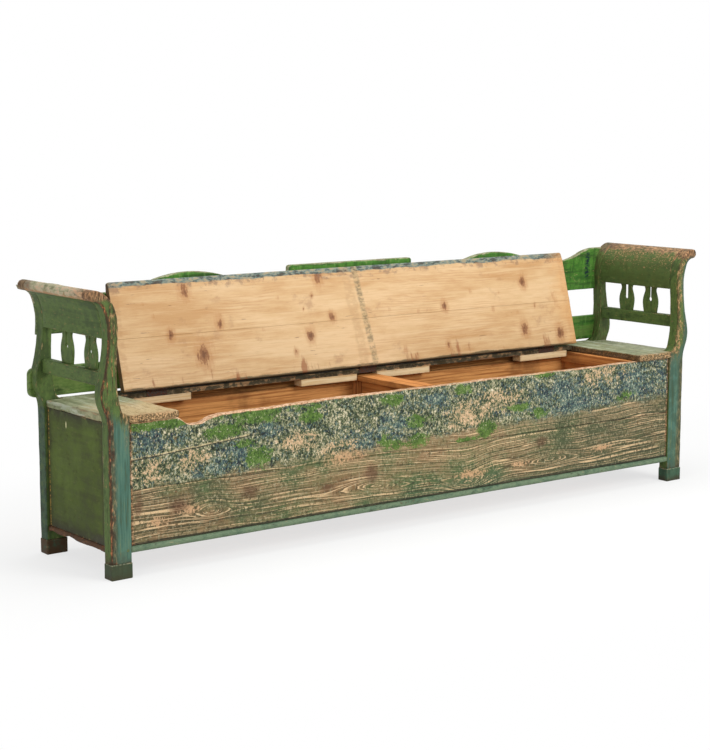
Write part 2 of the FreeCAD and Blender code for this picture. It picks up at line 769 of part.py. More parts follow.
# Pegs through the tenons
post_solid = {
    "front": along_y(post_edges(), leg_front, front_post_back),
    "back": along_y(post_edges(), back_post_front, leg_back),
}
tenon_middle = {"front": front_post_back - arm_tenon / 2, "back": back_post_front + arm_tenon / 2}
arm_pegs, rail_pegs = [], []
peg_heights = (crest_low + 2 * arm_tenon_margin, (arm_rail_low + arm_rail_top) / 2)
for place, y0 in (("front", leg_front), ("back", back_post_front)):
    for z in peg_heights:
        start = V(leg_in, tenon_middle[place], z)
        arm_pegs.append(rod(start, along, peg_radius, curl_reach - leg_in).common(post_solid[place]))
    at = V(leg_in + long_tenon / 2, y0, rail_low + rail_height / 2)
    rail_pegs.append(rod(at, V(0, 1, 0), rail_peg_radius, leg_thick))
right_pegs = arm_pegs + rail_pegs
pegs = right_pegs + [mirrored(peg) for peg in right_pegs]
for side in splat_places:
    arm_rails[side] = arm_rails[side].cut(arm_pegs)
    arm_crests[side] = arm_crests[side].cut(arm_pegs)
front_rail = front_rail.cut(pegs)
rear_rail = rear_rail.cut(pegs)

# Nails: the back into the posts, the seat's end boards into the end panels, the front into the box
back_nails, seat_nails, front_nails = [], [], []
for low, high in ((back_upper_low, back_upper_plain), (back_lower_low, back_lower_high)):
    for z in (low + nail_inset, high - nail_inset):
        back_nails.append(nail(neck_mid, back_rear, z, V(0, -1, 0)))
for y in (front_post_back + 2 * nail_inset, post_middle, back_post_front - 2 * nail_inset):
    seat_nails.append(nail((panel_in + panel_out) / 2, y, seat_height, V(0, 0, -1)))
for z in (box_low + 2 * nail_inset, front_joint_height - nail_inset, box_top - 3 * nail_inset):
    for x in (-box_end_out + box_end_thick / 2, 0, box_end_out - box_end_thick / 2):
        front_nails.append(nail(x, box_face, z, V(0, 1, 0)))
right_nails = back_nails + seat_nails
frame_nails = right_nails + [mirrored(piece) for piece in right_nails]
end_board = end_board.cut(seat_nails)
end_panel = end_panel.cut(seat_nails)
back_upper = back_upper.cut(frame_nails)
back_lower = back_lower.cut(frame_nails)
front_lower = front_lower.cut(front_nails)
front_upper = front_upper.cut(front_nails)
box_end = box_end.cut(front_nails)
divider = divider.cut(front_nails)
entering["front"] += right_pegs
entering["back"] += right_pegs + back_nails
posts = {place: post_solid[place].cut(entering[place]) for place in ("front", "back")}

# Files: the frame
for place in ("front", "back"):
    save_pair("post_" + place, posts[place])
    save_pair("foot_" + place, feet[place])
    save("arm_splat_" + place + "_right", splats[place + "_right"])
    save("arm_splat_" + place + "_left", mirrored(splats[place + "_left"]))
save("arm_crest_right", arm_crests["right"])
save("arm_crest_left", mirrored(arm_crests["left"]))
save("arm_rail_right", arm_rails["right"])
save("arm_rail_left", mirrored(arm_rails["left"]))
save_pair("end_panel", end_panel)
save_pair("end_bottom_rail", end_rail)
save_pair("seat_end_board", end_board)
save_pair("seat_batten_inner", battens["inner"])
save_pair("seat_batten_outer", battens["outer"])
save_pair("box_runner", side_runner)
save("box_runner_centre", centre_runner)
save("front_bottom_rail", front_rail)
save("rear_bottom_rail", rear_rail)
save("rear_top_rail", top_rail)
save("rear_panel", rear_panel)
save("back_upper_rail", back_upper)
save("back_lower_rail", back_lower)
save("seat_rear_strip", strip)
save("hinge_leaves_frame", Part.makeCompound(frame_leaves))
save("hinge_screws_frame", Part.makeCompound(frame_screws))
save("frame_pegs", Part.makeCompound(pegs))
save("frame_nails", Part.makeCompound(frame_nails))

# Files: the lid
save("lid_front_board", opened(lid_front_board))
save("lid_rear_board", opened(lid_rear_board))
save("hinge_leaves_lid", opened(Part.makeCompound(lid_leaves)))
save("hinge_pins", opened(Part.makeCompound(pins)))
save("hinge_screws_lid", opened(Part.makeCompound(lid_screws)))

# Files: the bed box
save_pair("box_end", box_end)
save_pair("box_end_cleat", box_cleat)
save_pair("box_divider_strip", divider_strip)
save("box_front_upper", front_upper)
save("box_front_lower", front_lower)
save("box_back", box_back)
save("box_divider", divider)
save("box_bearer", bearer)
save("box_nails", Part.makeCompound(front_nails))
for i, board in enumerate(bottom_boards):
    save("box_bottom_board_" + str(i + 1), board)

print("lid open angle", round(open_angle, 2), "degrees, pin at y", pin_depth, "z", pin_z)
print(len(made), "pieces written")
for name, shape in made.items():
    if not shape.isValid() or not shape.Solids:
        print("not valid:", name)
everything = Part.makeCompound(list(made.values())).BoundBox
print("x", round(everything.XMin, 2), round(everything.XMax, 2))
print("y", round(everything.YMin, 2), round(everything.YMax, 2))
print("z", round(everything.ZMin, 2), round(everything.ZMax, 2))
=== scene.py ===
# %% [markdown]
# # A painted pull-out bench bed
#
# The real thing is a long pine settle: S-shaped end posts, a lidded seat, a shaped back, and under
# the seat a box that slides out to make a bed. Its paint has worn, coat by coat, down to the wood.
# This lesson dresses the measured model of the bench in boards with rounded, worn edges and in
# finishes made only of shader nodes.
#
# The first step loads the frame. Each of its nodes is one piece of the real bench, already in its
# place, in metres: +X to the right end, +Y to the back, +Z up, with the floor at zero.

# %% Load the frame
import json
import math

import bpy
import numpy as np
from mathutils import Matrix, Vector


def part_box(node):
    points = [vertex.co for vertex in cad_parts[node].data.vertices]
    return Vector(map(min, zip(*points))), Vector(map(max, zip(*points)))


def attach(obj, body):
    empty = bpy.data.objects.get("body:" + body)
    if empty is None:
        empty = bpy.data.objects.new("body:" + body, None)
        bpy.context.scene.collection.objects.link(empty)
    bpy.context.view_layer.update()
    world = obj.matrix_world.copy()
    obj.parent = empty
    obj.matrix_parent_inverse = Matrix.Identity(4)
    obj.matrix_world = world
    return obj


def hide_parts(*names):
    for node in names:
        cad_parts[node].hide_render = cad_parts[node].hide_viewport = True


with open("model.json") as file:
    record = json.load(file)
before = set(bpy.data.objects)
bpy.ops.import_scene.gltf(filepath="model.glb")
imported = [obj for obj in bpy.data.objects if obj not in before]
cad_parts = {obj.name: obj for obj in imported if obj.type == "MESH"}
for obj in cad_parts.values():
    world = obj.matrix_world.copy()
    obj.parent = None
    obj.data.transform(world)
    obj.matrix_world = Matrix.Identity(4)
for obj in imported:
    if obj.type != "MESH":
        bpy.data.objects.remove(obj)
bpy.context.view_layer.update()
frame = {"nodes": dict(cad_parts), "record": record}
nodes = frame["nodes"]
bodies = frame["record"]["behaviour"]["bodies"]
body_of = {node: body for body, members in bodies.items() for node in members}

# %% [markdown]
# ## Boards as arrays
#
# A real old board is never a sharp block: a plane and two centuries of hands have rounded each
# arris, more in some places than in others. A bevel modifier rounds all edges alike, so the boards
# are computed instead. Along a line, a sum of sines gives an unevenness that looks like chance. It
# comes back only every few decimetres and is the same on every run.

# %% Unevenness along a line
def ripple(place, length, seed):
    """Unevenness from about -1 to 1: sines of length, length / 2, length / 4 and so on, each 0.7
    times as strong as the last and each starting at its own point."""
    octave = np.arange(6)
    starts = np.random.default_rng(seed).uniform(0, 2 * np.pi, len(octave))
    waves = np.sin(2 * np.pi * np.multiply.outer(place / length, 2.0**octave) + starts)
    return (waves * 0.7**octave).sum(-1) / 1.8


print("ripple at 0, 10 and 20 cm:", ripple(np.array([0, 0.1, 0.2]), 0.3, 1).round(2))

# %% [markdown]
# Each shape ends as a list of points and a list of faces. One function puts them into a mesh, adds
# the named fields that the finishes read, gives it its finish, and ties the piece to the frame: it
# rides on the body of the node that it stands for.

# %% Put arrays into a piece
made = {}


def put(node, finish, points, quads, fields, caps=()):
    """Makes the piece that replaces a node from an array of points, an array of quads and a few
    many-sided caps, which stay flat."""
    mesh = bpy.data.meshes.new(node + "_dressed")
    mesh.from_pydata(points.tolist(), [], quads.tolist() + [cap.tolist() for cap in caps])
    smooth = np.zeros(len(mesh.polygons), bool)
    smooth[: len(quads)] = True
    mesh.polygons.foreach_set("use_smooth", smooth)
    for field, values in fields.items():
        kind, slot = ("FLOAT", "value") if values.ndim == 1 else ("FLOAT_VECTOR", "vector")
        data = mesh.attributes.new(field, kind, "POINT").data
        data.foreach_set(slot, values.astype(np.float32).ravel())
    mesh.materials.append(finish)
    piece = bpy.data.objects.new(mesh.name, mesh)
    bpy.context.scene.collection.objects.link(piece)
    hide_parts(node)
    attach(piece, body_of[node])
    made[node] = len(mesh.polygons)


print("bodies that a piece can ride on:", list(bodies))

# %% [markdown]
# A plain board starts as the six faces of a block, each a grid whose lines crowd together near the
# arrises. Every point that lies within the rounding radius of two faces is pulled onto a quarter
# circle. The radius itself swells and shrinks along the board. The field "edge" keeps how far each
# point is from the nearest arris, which is where paint wears off first.

# %% Grid of a board
def spread(length, radius, step):
    """Places from 0 to length, crowded at both ends and about a step apart between them."""
    near = radius * np.array([0, 0.3, 0.65, 1, 1.6, 3, 6, 10])
    near = near[near < length * 0.45]
    count = max(1, round((length - 2 * near[-1]) / step))
    middle = np.linspace(near[-1], length - near[-1], count + 1)
    return np.unique(np.concatenate([near, middle, length - near]).round(7))


def block_grid(size, radius, step):
    """Points and quads of the six faces of a block, joined where the faces meet."""
    grids = [spread(length, radius, step) for length in size]
    points, quads, count = [], [], 0
    for axis in range(3):
        a, b = (axis + 1) % 3, (axis + 2) % 3
        u, v = np.meshgrid(grids[a], grids[b], indexing="ij")
        for side in (0, 1):
            face = np.empty(u.shape + (3,))
            face[..., a], face[..., b], face[..., axis] = u, v, size[axis] * side
            index = np.arange(u.size).reshape(u.shape) + count
            quad = np.stack([index[:-1, :-1], index[1:, :-1], index[1:, 1:], index[:-1, 1:]], -1)
            quad = quad.reshape(-1, 4)
            points.append(face.reshape(-1, 3))
            quads.append(quad if side else quad[:, ::-1])
            count += u.size
    points, joined = np.unique(np.concatenate(points).round(7), axis=0, return_inverse=True)
    return points, joined.reshape(-1)[np.concatenate(quads)]


print("grid lines across a 26 mm board:", (spread(0.026, 0.002, 0.04) * 1000).round(1))

# %% [markdown]
# Rounding comes second, as it did with the plane. The faces stay flat, so boards still meet as
# closely as in the model. A shape of its own, such as the hollow in the box front, is put on last.

# %% A board with worn arrises
def board(node, finish, shape=None, span=None, radius=0.002, step=0.04, wear=0.5, seed=1):
    """A block whose arrises are quarter circles of radius r (1 + wear * ripple): a point p becomes
    c + r (p - c) / |p - c|, where c is p held r inside the block. A span gives other ends than the
    node's along some axes. A shape may move the points afterwards and add fields."""
    low, high = (np.array(corner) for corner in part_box(node))
    for axis, ends in (span or {}).items():
        low[axis], high[axis] = ends
    size = high - low
    widest = np.max(radius(low[None]) if callable(radius) else radius)
    points, quads = block_grid(size, widest, step)
    edge = np.sort(np.minimum(points, size - points), axis=1)[:, 1]
    line = points @ np.array([1.0, 0.83, 0.61]) + low.sum()
    r = radius(low + points) if callable(radius) else radius
    r = r * np.clip(1 + wear * ripple(line, 0.37, seed), 0.4, 2.6)
    r = np.minimum(r, size.min() * 0.45)[:, None]
    core = np.clip(points, r, size - r)
    out = points - core
    points = low + core + out * r / np.linalg.norm(out, axis=1, keepdims=True)
    points, more = shape(points) if shape else (points, {})
    put(node, finish, points, quads, {"edge": edge, **more})


arris = 2 * np.clip(1 + 0.5 * ripple(np.arange(4) / 10, 0.37, 1), 0.4, 2.6)
print("a 2 mm rounding at 0, 10, 20 and 30 cm, in mm:", arris.round(2))

# %% [markdown]
# The posts, crests and back rails are sawn to a curved outline from a flat plank. Here a plane
# outline is carried through the plank's thickness as a stack of rings. On the rings near the two
# faces the outline is drawn in along a quarter circle, and a cap closes each face.

# %% Rings through the thickness of a plank
def drawn_in(outline):
    """For each corner of a closed anticlockwise outline, the step that moves both its sides inwards
    by one: (n1 + n2) / (1 + n1 . n2) with the sides' inward normals n1 and n2. Also the sharp
    outer corners."""
    side = np.roll(outline, -1, 0) - outline
    side /= np.linalg.norm(side, axis=1, keepdims=True)
    last = np.roll(side, 1, 0)
    n1, n2 = (np.stack([-way[:, 1], way[:, 0]], 1) for way in (last, side))
    step = (n1 + n2) / (1 + (n1 * n2).sum(1, keepdims=True))
    turn = last[:, 0] * side[:, 1] - last[:, 1] * side[:, 0]
    return step, outline[turn > 0.5]


def ring_stack(radius, low, high, walls, depths):
    """For each ring: how far it is drawn in, where it lies, and how far it is from the arris. At
    angle t of the rounding a ring is drawn in by r (1 - sin t) and lies r (1 - cos t) inside the
    face. Depths put flat rings on the face itself, and walls are the rings between."""
    turns = np.radians([0, 30, 60, 90])[:, None]
    flat = np.array(depths[::-1])[:, None]
    inset = np.concatenate([radius + flat, radius * (1 - np.sin(turns))])
    at = np.concatenate([0 * radius + 0 * flat, radius * (1 - np.cos(turns))])
    edge = np.concatenate([0.785 * radius + flat, radius * np.abs(turns - np.pi / 4)])
    share = np.linspace(0, 1, walls + 2)[1:-1, None]
    middle = (low + radius) + (high - low - 2 * radius) * share
    return (
        np.concatenate([inset, 0 * middle, inset[::-1]]),
        np.concatenate([low + at, middle, high - at[::-1]]),
        np.concatenate([edge, np.minimum(middle - low, high - middle), edge[::-1]]),
    )


def stitched(rings, around):
    """Quads between neighbouring closed rings, and the caps on the first and the last ring."""
    index = np.arange(rings * around).reshape(rings, around)
    after = np.roll(index, -1, 1)
    quads = np.stack([index[:-1], after[:-1], after[1:], index[1:]], -1).reshape(-1, 4)
    return quads, [index[0][::-1], index[-1]]


print("drawn in at a square corner:", drawn_in(np.array([(0.0, 0), (1, 0), (1, 1), (0, 1)]))[0][0])

# %% [markdown]
# The stack becomes a plank when it is stood up in the bench: two of the bench's axes take the
# outline and the third takes the thickness. All rings have the same number of points, so this is
# one sum of arrays without a loop over points.

# %% A plank sawn to an outline
def plank(node, finish, outline, low, high, axes, shape=None, radius=0.0025, walls=6,
          depths=(0.0015, 0.004), wear=0.5, seed=1):
    """The outline, drawn in the plane of the first two axes, stands from low to high along the
    third. The radius of its arrises follows the ripple along the outline."""
    step, corners = drawn_in(outline)
    length = np.cumsum(np.linalg.norm(outline - np.roll(outline, 1, 0), axis=1))
    radius = radius * np.clip(1 + wear * ripple(length, 0.23, seed), 0.5, 1.7)
    inset, at, edge = ring_stack(radius, low, high, walls, depths)
    flat = outline + inset[..., None] * step
    if len(corners):
        edge = np.minimum(edge, np.linalg.norm(flat[:, :, None] - corners, axis=-1).min(-1))
    points = np.empty(flat.shape[:2] + (3,))
    for axis, values in zip(axes, (flat[..., 0], flat[..., 1], at)):
        points[..., axis] = values
    quads, caps = stitched(*flat.shape[:2])
    if (axes[1] - axes[0]) % 3 == 2:
        quads, caps = quads[:, ::-1], [cap[::-1] for cap in caps]
    points = points.reshape(-1, 3)
    points, more = shape(points) if shape else (points, {})
    put(node, finish, points, quads, {"edge": edge.ravel(), **more}, caps)


stack = ring_stack(np.array([0.0025]), 0.0, 0.04, 6, (0.0015, 0.004))
print("a 40 mm plank has", len(stack[0]), "rings")

# %% [markdown]
# Outlines are joined from straight sides and chains of arcs. The left end of the bench is the
# mirrored right end, so one drawing serves both.

# %% Parts of an outline
def dense(corners, step=0.012):
    """A closed outline through corners, with points about a step apart on each straight side."""
    corners = np.array(corners, float)
    parts = []
    for start, end in zip(corners, np.roll(corners, -1, 0)):
        count = max(1, round(np.linalg.norm(end - start) / step))
        parts.append(start + (end - start) * (np.arange(count) / count)[:, None])
    return np.concatenate(parts)


def arcs(points, heading, step=0.006):
    """Points along a chain of arcs, each leaving in the direction in which the last one ended. On
    an arc that turns by 2 h over a chord L, the point at share q lies L sin(q h) / sin(h) away from
    the start, in the direction heading + q h."""
    points = np.array(points, float)
    path = [points[:1]]
    for start, end in zip(points[:-1], points[1:]):
        chord = end - start
        length = np.hypot(*chord)
        h = math.remainder(math.atan2(chord[1], chord[0]) - heading, math.tau)
        share = np.linspace(0, 1, max(4, round(length / step)) + 1)[1:]
        away = length * np.sin(share * h) / math.sin(h)
        angle = heading + share * h
        path.append(start + away[:, None] * np.stack([np.cos(angle), np.sin(angle)], 1))
        heading += 2 * h
    return np.concatenate(path)


def at_end(side, outline):
    """An outline drawn for the right end, or the same at the left end, still anticlockwise."""
    return outline if side == "right" else (outline * [-1, 1])[::-1]


print("points on a half circle:", len(arcs([(0, 0), (0, 0.1)], 0.0)))

# %% [markdown]
# ## Finishes from nodes
#
# No photograph is used as a texture. A finish is a small net of shader nodes that read the place on
# the bench in metres, so the grain and the paint stay where they are when the lid opens or the box
# slides. Such a net is sums, products and soft steps of noises. The first class lets them be
# written as plain arithmetic: each sign adds the node that does that sum.

# %% Arithmetic with nodes
def tint(red, green, blue):
    """A colour as a screen shows it, 0 to 255, turned into the linear values that light uses."""
    screen = np.array([red, green, blue]) / 255
    linear = np.where(screen <= 0.04045, screen / 12.92, ((screen + 0.055) / 1.055) ** 2.4)
    return (*linear.tolist(), 1.0)


class Value:
    """What one node of a finish puts out. Masks are values from 0 to 1: their product holds where
    both do, and | holds where either does."""

    def __init__(self, finish, socket):
        self.finish, self.socket = finish, socket

    def calc(self, operation, *others):
        return self.finish.add("ShaderNodeMath", enumerate((self, *others)), operation=operation)

    def __add__(self, other):
        return self.calc("ADD", other)

    def __sub__(self, other):
        return self.calc("SUBTRACT", other)

    def __mul__(self, other):
        return self.calc("MULTIPLY", other)

    def __or__(self, other):
        return self.calc("MAXIMUM", other)

    def __abs__(self):
        return self.calc("ABSOLUTE")

    def step(self, low, high):
        """0 below low, 1 above high, and a soft slope between; low above high turns it round."""
        if low > high:
            return self.step(high, low) * -1.0 + 1.0
        inputs = {"Value": self, "From Min": low, "From Max": high}
        return self.finish.add("ShaderNodeMapRange", inputs, interpolation_type="SMOOTHSTEP")


print("beige in linear light:", np.round(tint(200, 165, 125), 3))

# %% [markdown]
# The second class is the finish itself. Its colour is built up as a painter would: a ground first,
# then coat over coat, each laid on where its mask lets it.

# %% A finish
def triple(value):
    """One number three times, or three numbers as they are."""
    return tuple(np.broadcast_to(np.array(value, float), 3).tolist())


class Finish:
    """A material built node by node on a Principled shader."""

    def __init__(self, name, roughness, field=None):
        self.material = bpy.data.materials.new(name)
        self.material.use_nodes = True
        self.tree = self.material.node_tree
        self.shader = self.tree.nodes["Principled BSDF"]
        self.shader.inputs["Roughness"].default_value = roughness
        self.shader.inputs["Specular IOR Level"].default_value = 0.15
        if field:
            self.place = self.field(field, "Vector")
        else:
            self.place = self.add("ShaderNodeTexCoord", (), "Object")
        apart = self.add("ShaderNodeSeparateXYZ", {0: self.place}).socket.node
        self.x, self.y, self.z = (Value(self, output) for output in apart.outputs)

    def add(self, kind, inputs=(), output=0, **settings):
        """Adds a node with its settings, sets or links its inputs, and gives one of its outputs."""
        node = self.tree.nodes.new(kind)
        for key, value in settings.items():
            setattr(node, key, value)
        for key, value in dict(inputs).items():
            if isinstance(value, Value):
                self.tree.links.new(value.socket, node.inputs[key])
            else:
                node.inputs[key].default_value = value
        return Value(self, node.outputs[output])

    def field(self, name, output="Fac"):
        """A number or place that the mesh carries at each point."""
        return self.add("ShaderNodeAttribute", (), output, attribute_name=name)

    def squeezed(self, squeeze, shift=0.0):
        """The place, multiplied along each axis and then shifted."""
        inputs = {"Vector": self.place, "Scale": triple(squeeze), "Location": triple(shift)}
        return self.add("ShaderNodeMapping", inputs)

    def noise(self, scale, shift=0.0, detail=4.0, roughness=0.55, distortion=0.0, squeeze=1.0,
              place=None):
        """Noise from about 0 to 1. Three scales, or a squeeze, stretch it along the axes."""
        if isinstance(scale, tuple):
            scale, squeeze = 1.0, scale
        inputs = {"Vector": place or self.squeezed(squeeze, shift), "Scale": scale,
                  "Detail": detail, "Roughness": roughness, "Distortion": distortion}
        return self.add("ShaderNodeTexNoise", inputs)

    def mix(self, first, second, share):
        """Goes from the first colour to the second as share goes from 0 to 1."""
        ends = [end if isinstance(end, Value) else tint(*end) for end in (first, second)]
        return self.add("ShaderNodeMix", {0: share, 6: ends[0], 7: ends[1]}, 2, data_type="RGBA")

    def ramp(self, value, *stops):
        """A colour read from a row of stops (place, red, green, blue)."""
        colour = self.add("ShaderNodeValToRGB", {0: value})
        row = colour.socket.node.color_ramp.elements
        row.remove(row[1])
        row[0].position, row[0].color = stops[0][0], tint(*stops[0][1:])
        for place, *stop in stops[1:]:
            row.new(place).color = tint(*stop)
        return colour

    def lay(self, colour, share):
        """Lays a colour over the present one."""
        self.colour = self.mix(self.colour, colour, share)

    def done(self, height, depth, gloss=None):
        """Wires up the colour, bumps of a height from 0 to 1 times a depth in metres, and gloss."""
        bump = self.add("ShaderNodeBump", {"Height": height, "Strength": 1.0, "Distance": depth})
        wires = {"Base Color": self.colour, "Normal": bump, "Roughness": gloss}
        for key, value in wires.items():
            if value:
                self.tree.links.new(value.socket, self.shader.inputs[key])
        return self.material


print("one number as three:", triple(0.5))

# %% [markdown]
# ## Bare wood
#
# Pine grain is a stack of thin rings cut at a slant. Along the board the lines run almost straight,
# across it they come every few millimetres. The noise is therefore squeezed: one unit along the
# grain is many units across it. Streaks of the same kind, seven times finer, are the pores.

# %% Grain of pine
def grain(f, axis, across, along, seed):
    """Streaks that run along an axis: coarse ones, and fine ones for the pores."""
    coarse, fine = [across] * 3, [across * 7] * 3
    coarse[axis], fine[axis] = along, along * 4
    pores = f.noise(tuple(fine), (seed, -seed, seed), 2, 0.6)
    return f.noise(tuple(coarse), seed, 3, 0.5, 0.6), pores


def bare_pine(f, axis, light, dark, seed):
    """Grounds a finish in unpainted pine, and gives the height of its grain."""
    coarse, fine = grain(f, axis, 130.0, 3.4, seed)
    f.colour = f.mix(light, dark, coarse.step(0.42, 0.66) * 0.75)
    f.lay(dark, fine.step(0.48, 0.70) * 0.55)
    return coarse * 0.6 + fine * 0.4


def pine_finish(name, axis, light, dark, grime, seed, spots):
    """Bare pine: grain, a wide unevenness of tone, and dirt along the arrises."""
    f = Finish(name, 0.7)
    height = bare_pine(f, axis, light, dark, seed)
    cloud = f.noise((5, 5, 5), seed, 5, 0.6)
    f.lay(grime, cloud.step(0.48, 0.7) * spots)
    near = (f.field("edge") + f.noise(60.0) * 0.012).step(0.013, 0.004)
    f.lay(grime, near * 0.4)
    return f.done(height, 0.0012)


aged_x = pine_finish("aged_pine_along_x", 0, (218, 156, 92), (140, 80, 36), (70, 38, 18), 3.0, 0.55)
aged_y = pine_finish("aged_pine_along_y", 1, (208, 142, 80), (150, 88, 42), (84, 48, 24), 7.0, 0.5)
aged_z = pine_finish("aged_pine_along_z", 2, (214, 152, 92), (160, 98, 52), (86, 48, 26), 5.0, 0.4)
new_x = pine_finish("new_pine_along_x", 0, (238, 214, 172), (214, 176, 122), (150, 110, 72),
                    9.0, 0.15)
print("bare woods:", aged_x.name, aged_y.name, aged_z.name, new_x.name)

# %% [markdown]
# ## Worn paint
#
# The bench was painted more than once. The green on top lies over a greyer coat, and both have gone
# where sleeves, shoes and bedding rubbed: first on the arrises, then in chips on the faces. One sum
# says how well the paint holds: the distance to the arris and several sizes of noise. Each coat
# stays where that sum is above its own level. The noise has the last word, so the borders of the
# wear are ragged.

# %% Paint over paint over wood
def painted(name, axis, coats, wear, chips, flecks, seed, roll=0.0, marks=None):
    """Old paint in two coats (light, dark, under, wood, dark wood, dirt). More wear reaches further
    from the arris, chips raise the level, roll thins the paint towards the top of the arms."""
    light, dark, under, wood, wood_dark, dirt = coats
    f = Finish(name, 0.55)
    height = bare_pine(f, axis, wood, wood_dark, seed)
    coarse, fine = grain(f, axis, 60.0, 3.0, seed + 2.0)
    squeeze = [150.0] * 3
    squeeze[axis] = 48.0
    flake = f.noise(tuple(squeeze), (seed, seed, 1), 4, 0.68)
    rough = f.noise(34.0, (seed, seed, 0), 8, 0.7)
    patch = f.noise(5.5, (seed, 0, seed), 4, 0.6)
    near = f.field("edge").calc("DIVIDE", 0.012).calc("MINIMUM", 1.5)
    top_of_arm = f.z.step(0.762, 0.812)
    hold = near * (0.42 / wear) + rough * 1.3 + patch * 0.6 + coarse * 0.3 + flake * 0.5
    hold = hold - top_of_arm * roll
    level = 1.30 + 0.25 * chips
    under_on = hold.step(level - 0.06, level + 0.02)
    top_on = hold.step(level + 0.10, level + 0.17)
    tone = f.noise(3.4, seed, 5, 0.62) * 0.55 + coarse * 0.35 + rough * 0.5
    coat = f.ramp(tone, (0.60, *dark), (0.74, *light), (0.84, *dark))
    coat = f.mix(coat, dirt, flake.step(0.44, 0.33) * (0.7 * flecks))
    coat = f.mix(coat, wood, flake.step(0.60, 0.70) * (0.75 * flecks))
    f.lay(under, under_on * 0.8)
    f.lay(coat, top_on)
    rim = hold.step(level - 0.10, level) * hold.step(level + 0.16, level + 0.06)
    f.lay(dirt, rim * rough.step(0.42, 0.55) * 0.6)
    if marks:
        marks(f, rough, flake)
    height = top_on * 0.35 + under_on * 0.2 + height * 0.25 + fine * 0.15 + flake * 0.2
    return f.done(height, 0.0011, rough * 0.3 + 0.42)


ochre, umber, dirt = (142, 98, 62), (92, 58, 38), (46, 44, 28)
olive = ((82, 102, 52), (58, 74, 38), (120, 116, 78), (160, 124, 84), ochre, dirt)
low_coats = ((84, 56, 34), (52, 38, 24), (84, 56, 34), (170, 108, 60), ochre, dirt)
bead_coats = ((104, 122, 96), (74, 96, 76), (62, 68, 50), (150, 140, 106), ochre, dirt)
strip_coats = ((70, 60, 38), (46, 38, 24), (64, 70, 58), (176, 140, 100), umber, dirt)
green_y = painted("green_paint_along_y", 1, olive, 0.6, -0.6, 0.7, 4.0)
splat_green = painted("splat_paint", 2, olive, 0.6, -0.8, 0.8, 7.0)
bead_x = painted("bead_paint_along_x", 0, bead_coats, 0.7, -0.1, 0.7, 2.0)
low_y = painted("end_rail_paint", 1, low_coats, 0.8, 0.4, 0.6, 11.0)
strip_x = painted("rear_strip_paint", 0, strip_coats, 1.0, 0.5, 0.8, 17.0)
print("plain paints:", green_y.name, splat_green.name, bead_x.name, low_y.name, strip_x.name)

# %% [markdown]
# ## Marks of single pieces
#
# Some pieces carry marks of their own, laid over the paint before its shader is wired up. The rails
# of the back are a brighter green, rubbed in streaks, with a pale line where hands took hold of the
# shaped top edge. The mesh carries the field "down" for it, the distance below that edge.

# %% Back rails
def rail_marks(f, rough, flake):
    """Streaks and scuffs, a dark blue speckled mark near the right end, duller ends, the pale rim,
    and a lighter lower rail."""
    streaks = f.noise((5, 60, 60), 2, 4, 0.6)
    scuffs = f.noise((70, 70, 12), (9, 2, 2), 4, 0.7)
    f.lay((44, 70, 30), streaks.step(0.52, 0.64) * 0.7)
    f.lay((44, 76, 32), scuffs.step(0.52, 0.62) * 0.6)
    f.lay((112, 144, 80), scuffs.step(0.42, 0.34) * 0.45)
    off = abs(f.x - f.z * 0.077 + rough * 0.03 - 1.0361)
    reach = f.z.step(0.684, 0.696) * f.z.step(0.790, 0.776)
    f.lay((22, 36, 44), off.step(0.016, 0.004) * reach * flake.step(0.45, 0.51) * 0.95)
    along = f.x + rough * 0.10
    dull = f.ramp(flake, (0.40, 48, 50, 30), (0.50, 76, 88, 50), (0.62, 110, 112, 72))
    f.lay(dull, (along.step(-0.85, -1.00) | along.step(1.15, 1.21)) * 0.75)
    rim = (f.field("down") + rough * 0.016).step(0.0120, 0.0075) * f.z.step(0.740, 0.745)
    f.lay(f.mix((122, 110, 84), (178, 170, 142), flake.step(0.46, 0.56)), rim * 0.7)
    f.lay((106, 132, 64), f.z.step(0.57, 0.56) * streaks.step(0.38, 0.56) * 0.55)


bright = ((76, 126, 46), (52, 94, 34), (70, 84, 56), (196, 160, 122), ochre, dirt)
green_x = painted("green_paint_along_x", 0, bright, 0.7, -0.7, 0.5, 1.0, marks=rail_marks)
print("back rails:", green_x.name, len(green_x.node_tree.nodes), "nodes")

# %% [markdown]
# The posts are the most handled pieces. Below the seat the front ones turn blue-green. Along the
# outer arris the paint has cracked down to a red-brown line, along the inner one to an ochre line.
# The mesh of a post carries the field "out", from -1 at its inner side to 1 at its outer side.

# %% Posts below the seat
teal = ((0.34, 66, 74, 48), (0.44, 60, 94, 84), (0.54, 78, 112, 98), (0.64, 96, 110, 78))


def front_leg_marks(f, rough, flake, front, right, out):
    """Blue-green streaks on the front face, greener on the right leg and earthy at the outside."""
    streaks = f.noise((95, 95, 5), (0, 0, 3), 5, 0.66)
    low = front * (f.z + streaks * 0.16).step(0.565, 0.495)
    f.lay(f.ramp(streaks, *teal), low * 0.9)
    f.lay((50, 70, 54), low * right * rough.step(0.42, 0.56) * 0.5)
    earth = f.ramp(flake, (0.42, 58, 52, 34), (0.54, 90, 86, 58), (0.64, 150, 124, 88))
    f.lay(earth, low * (out + streaks * 1.4).step(0.85, 1.35) * 0.75)
    return streaks


print(len(teal), "tones in the streaks of the front legs")

# %% [markdown]
# Above the seat the same posts are cracked along the grain, and the inner side of the right arm is
# rubbed down to ochre flecks. Leg and arm are one plank, so one finish holds the marks of both.

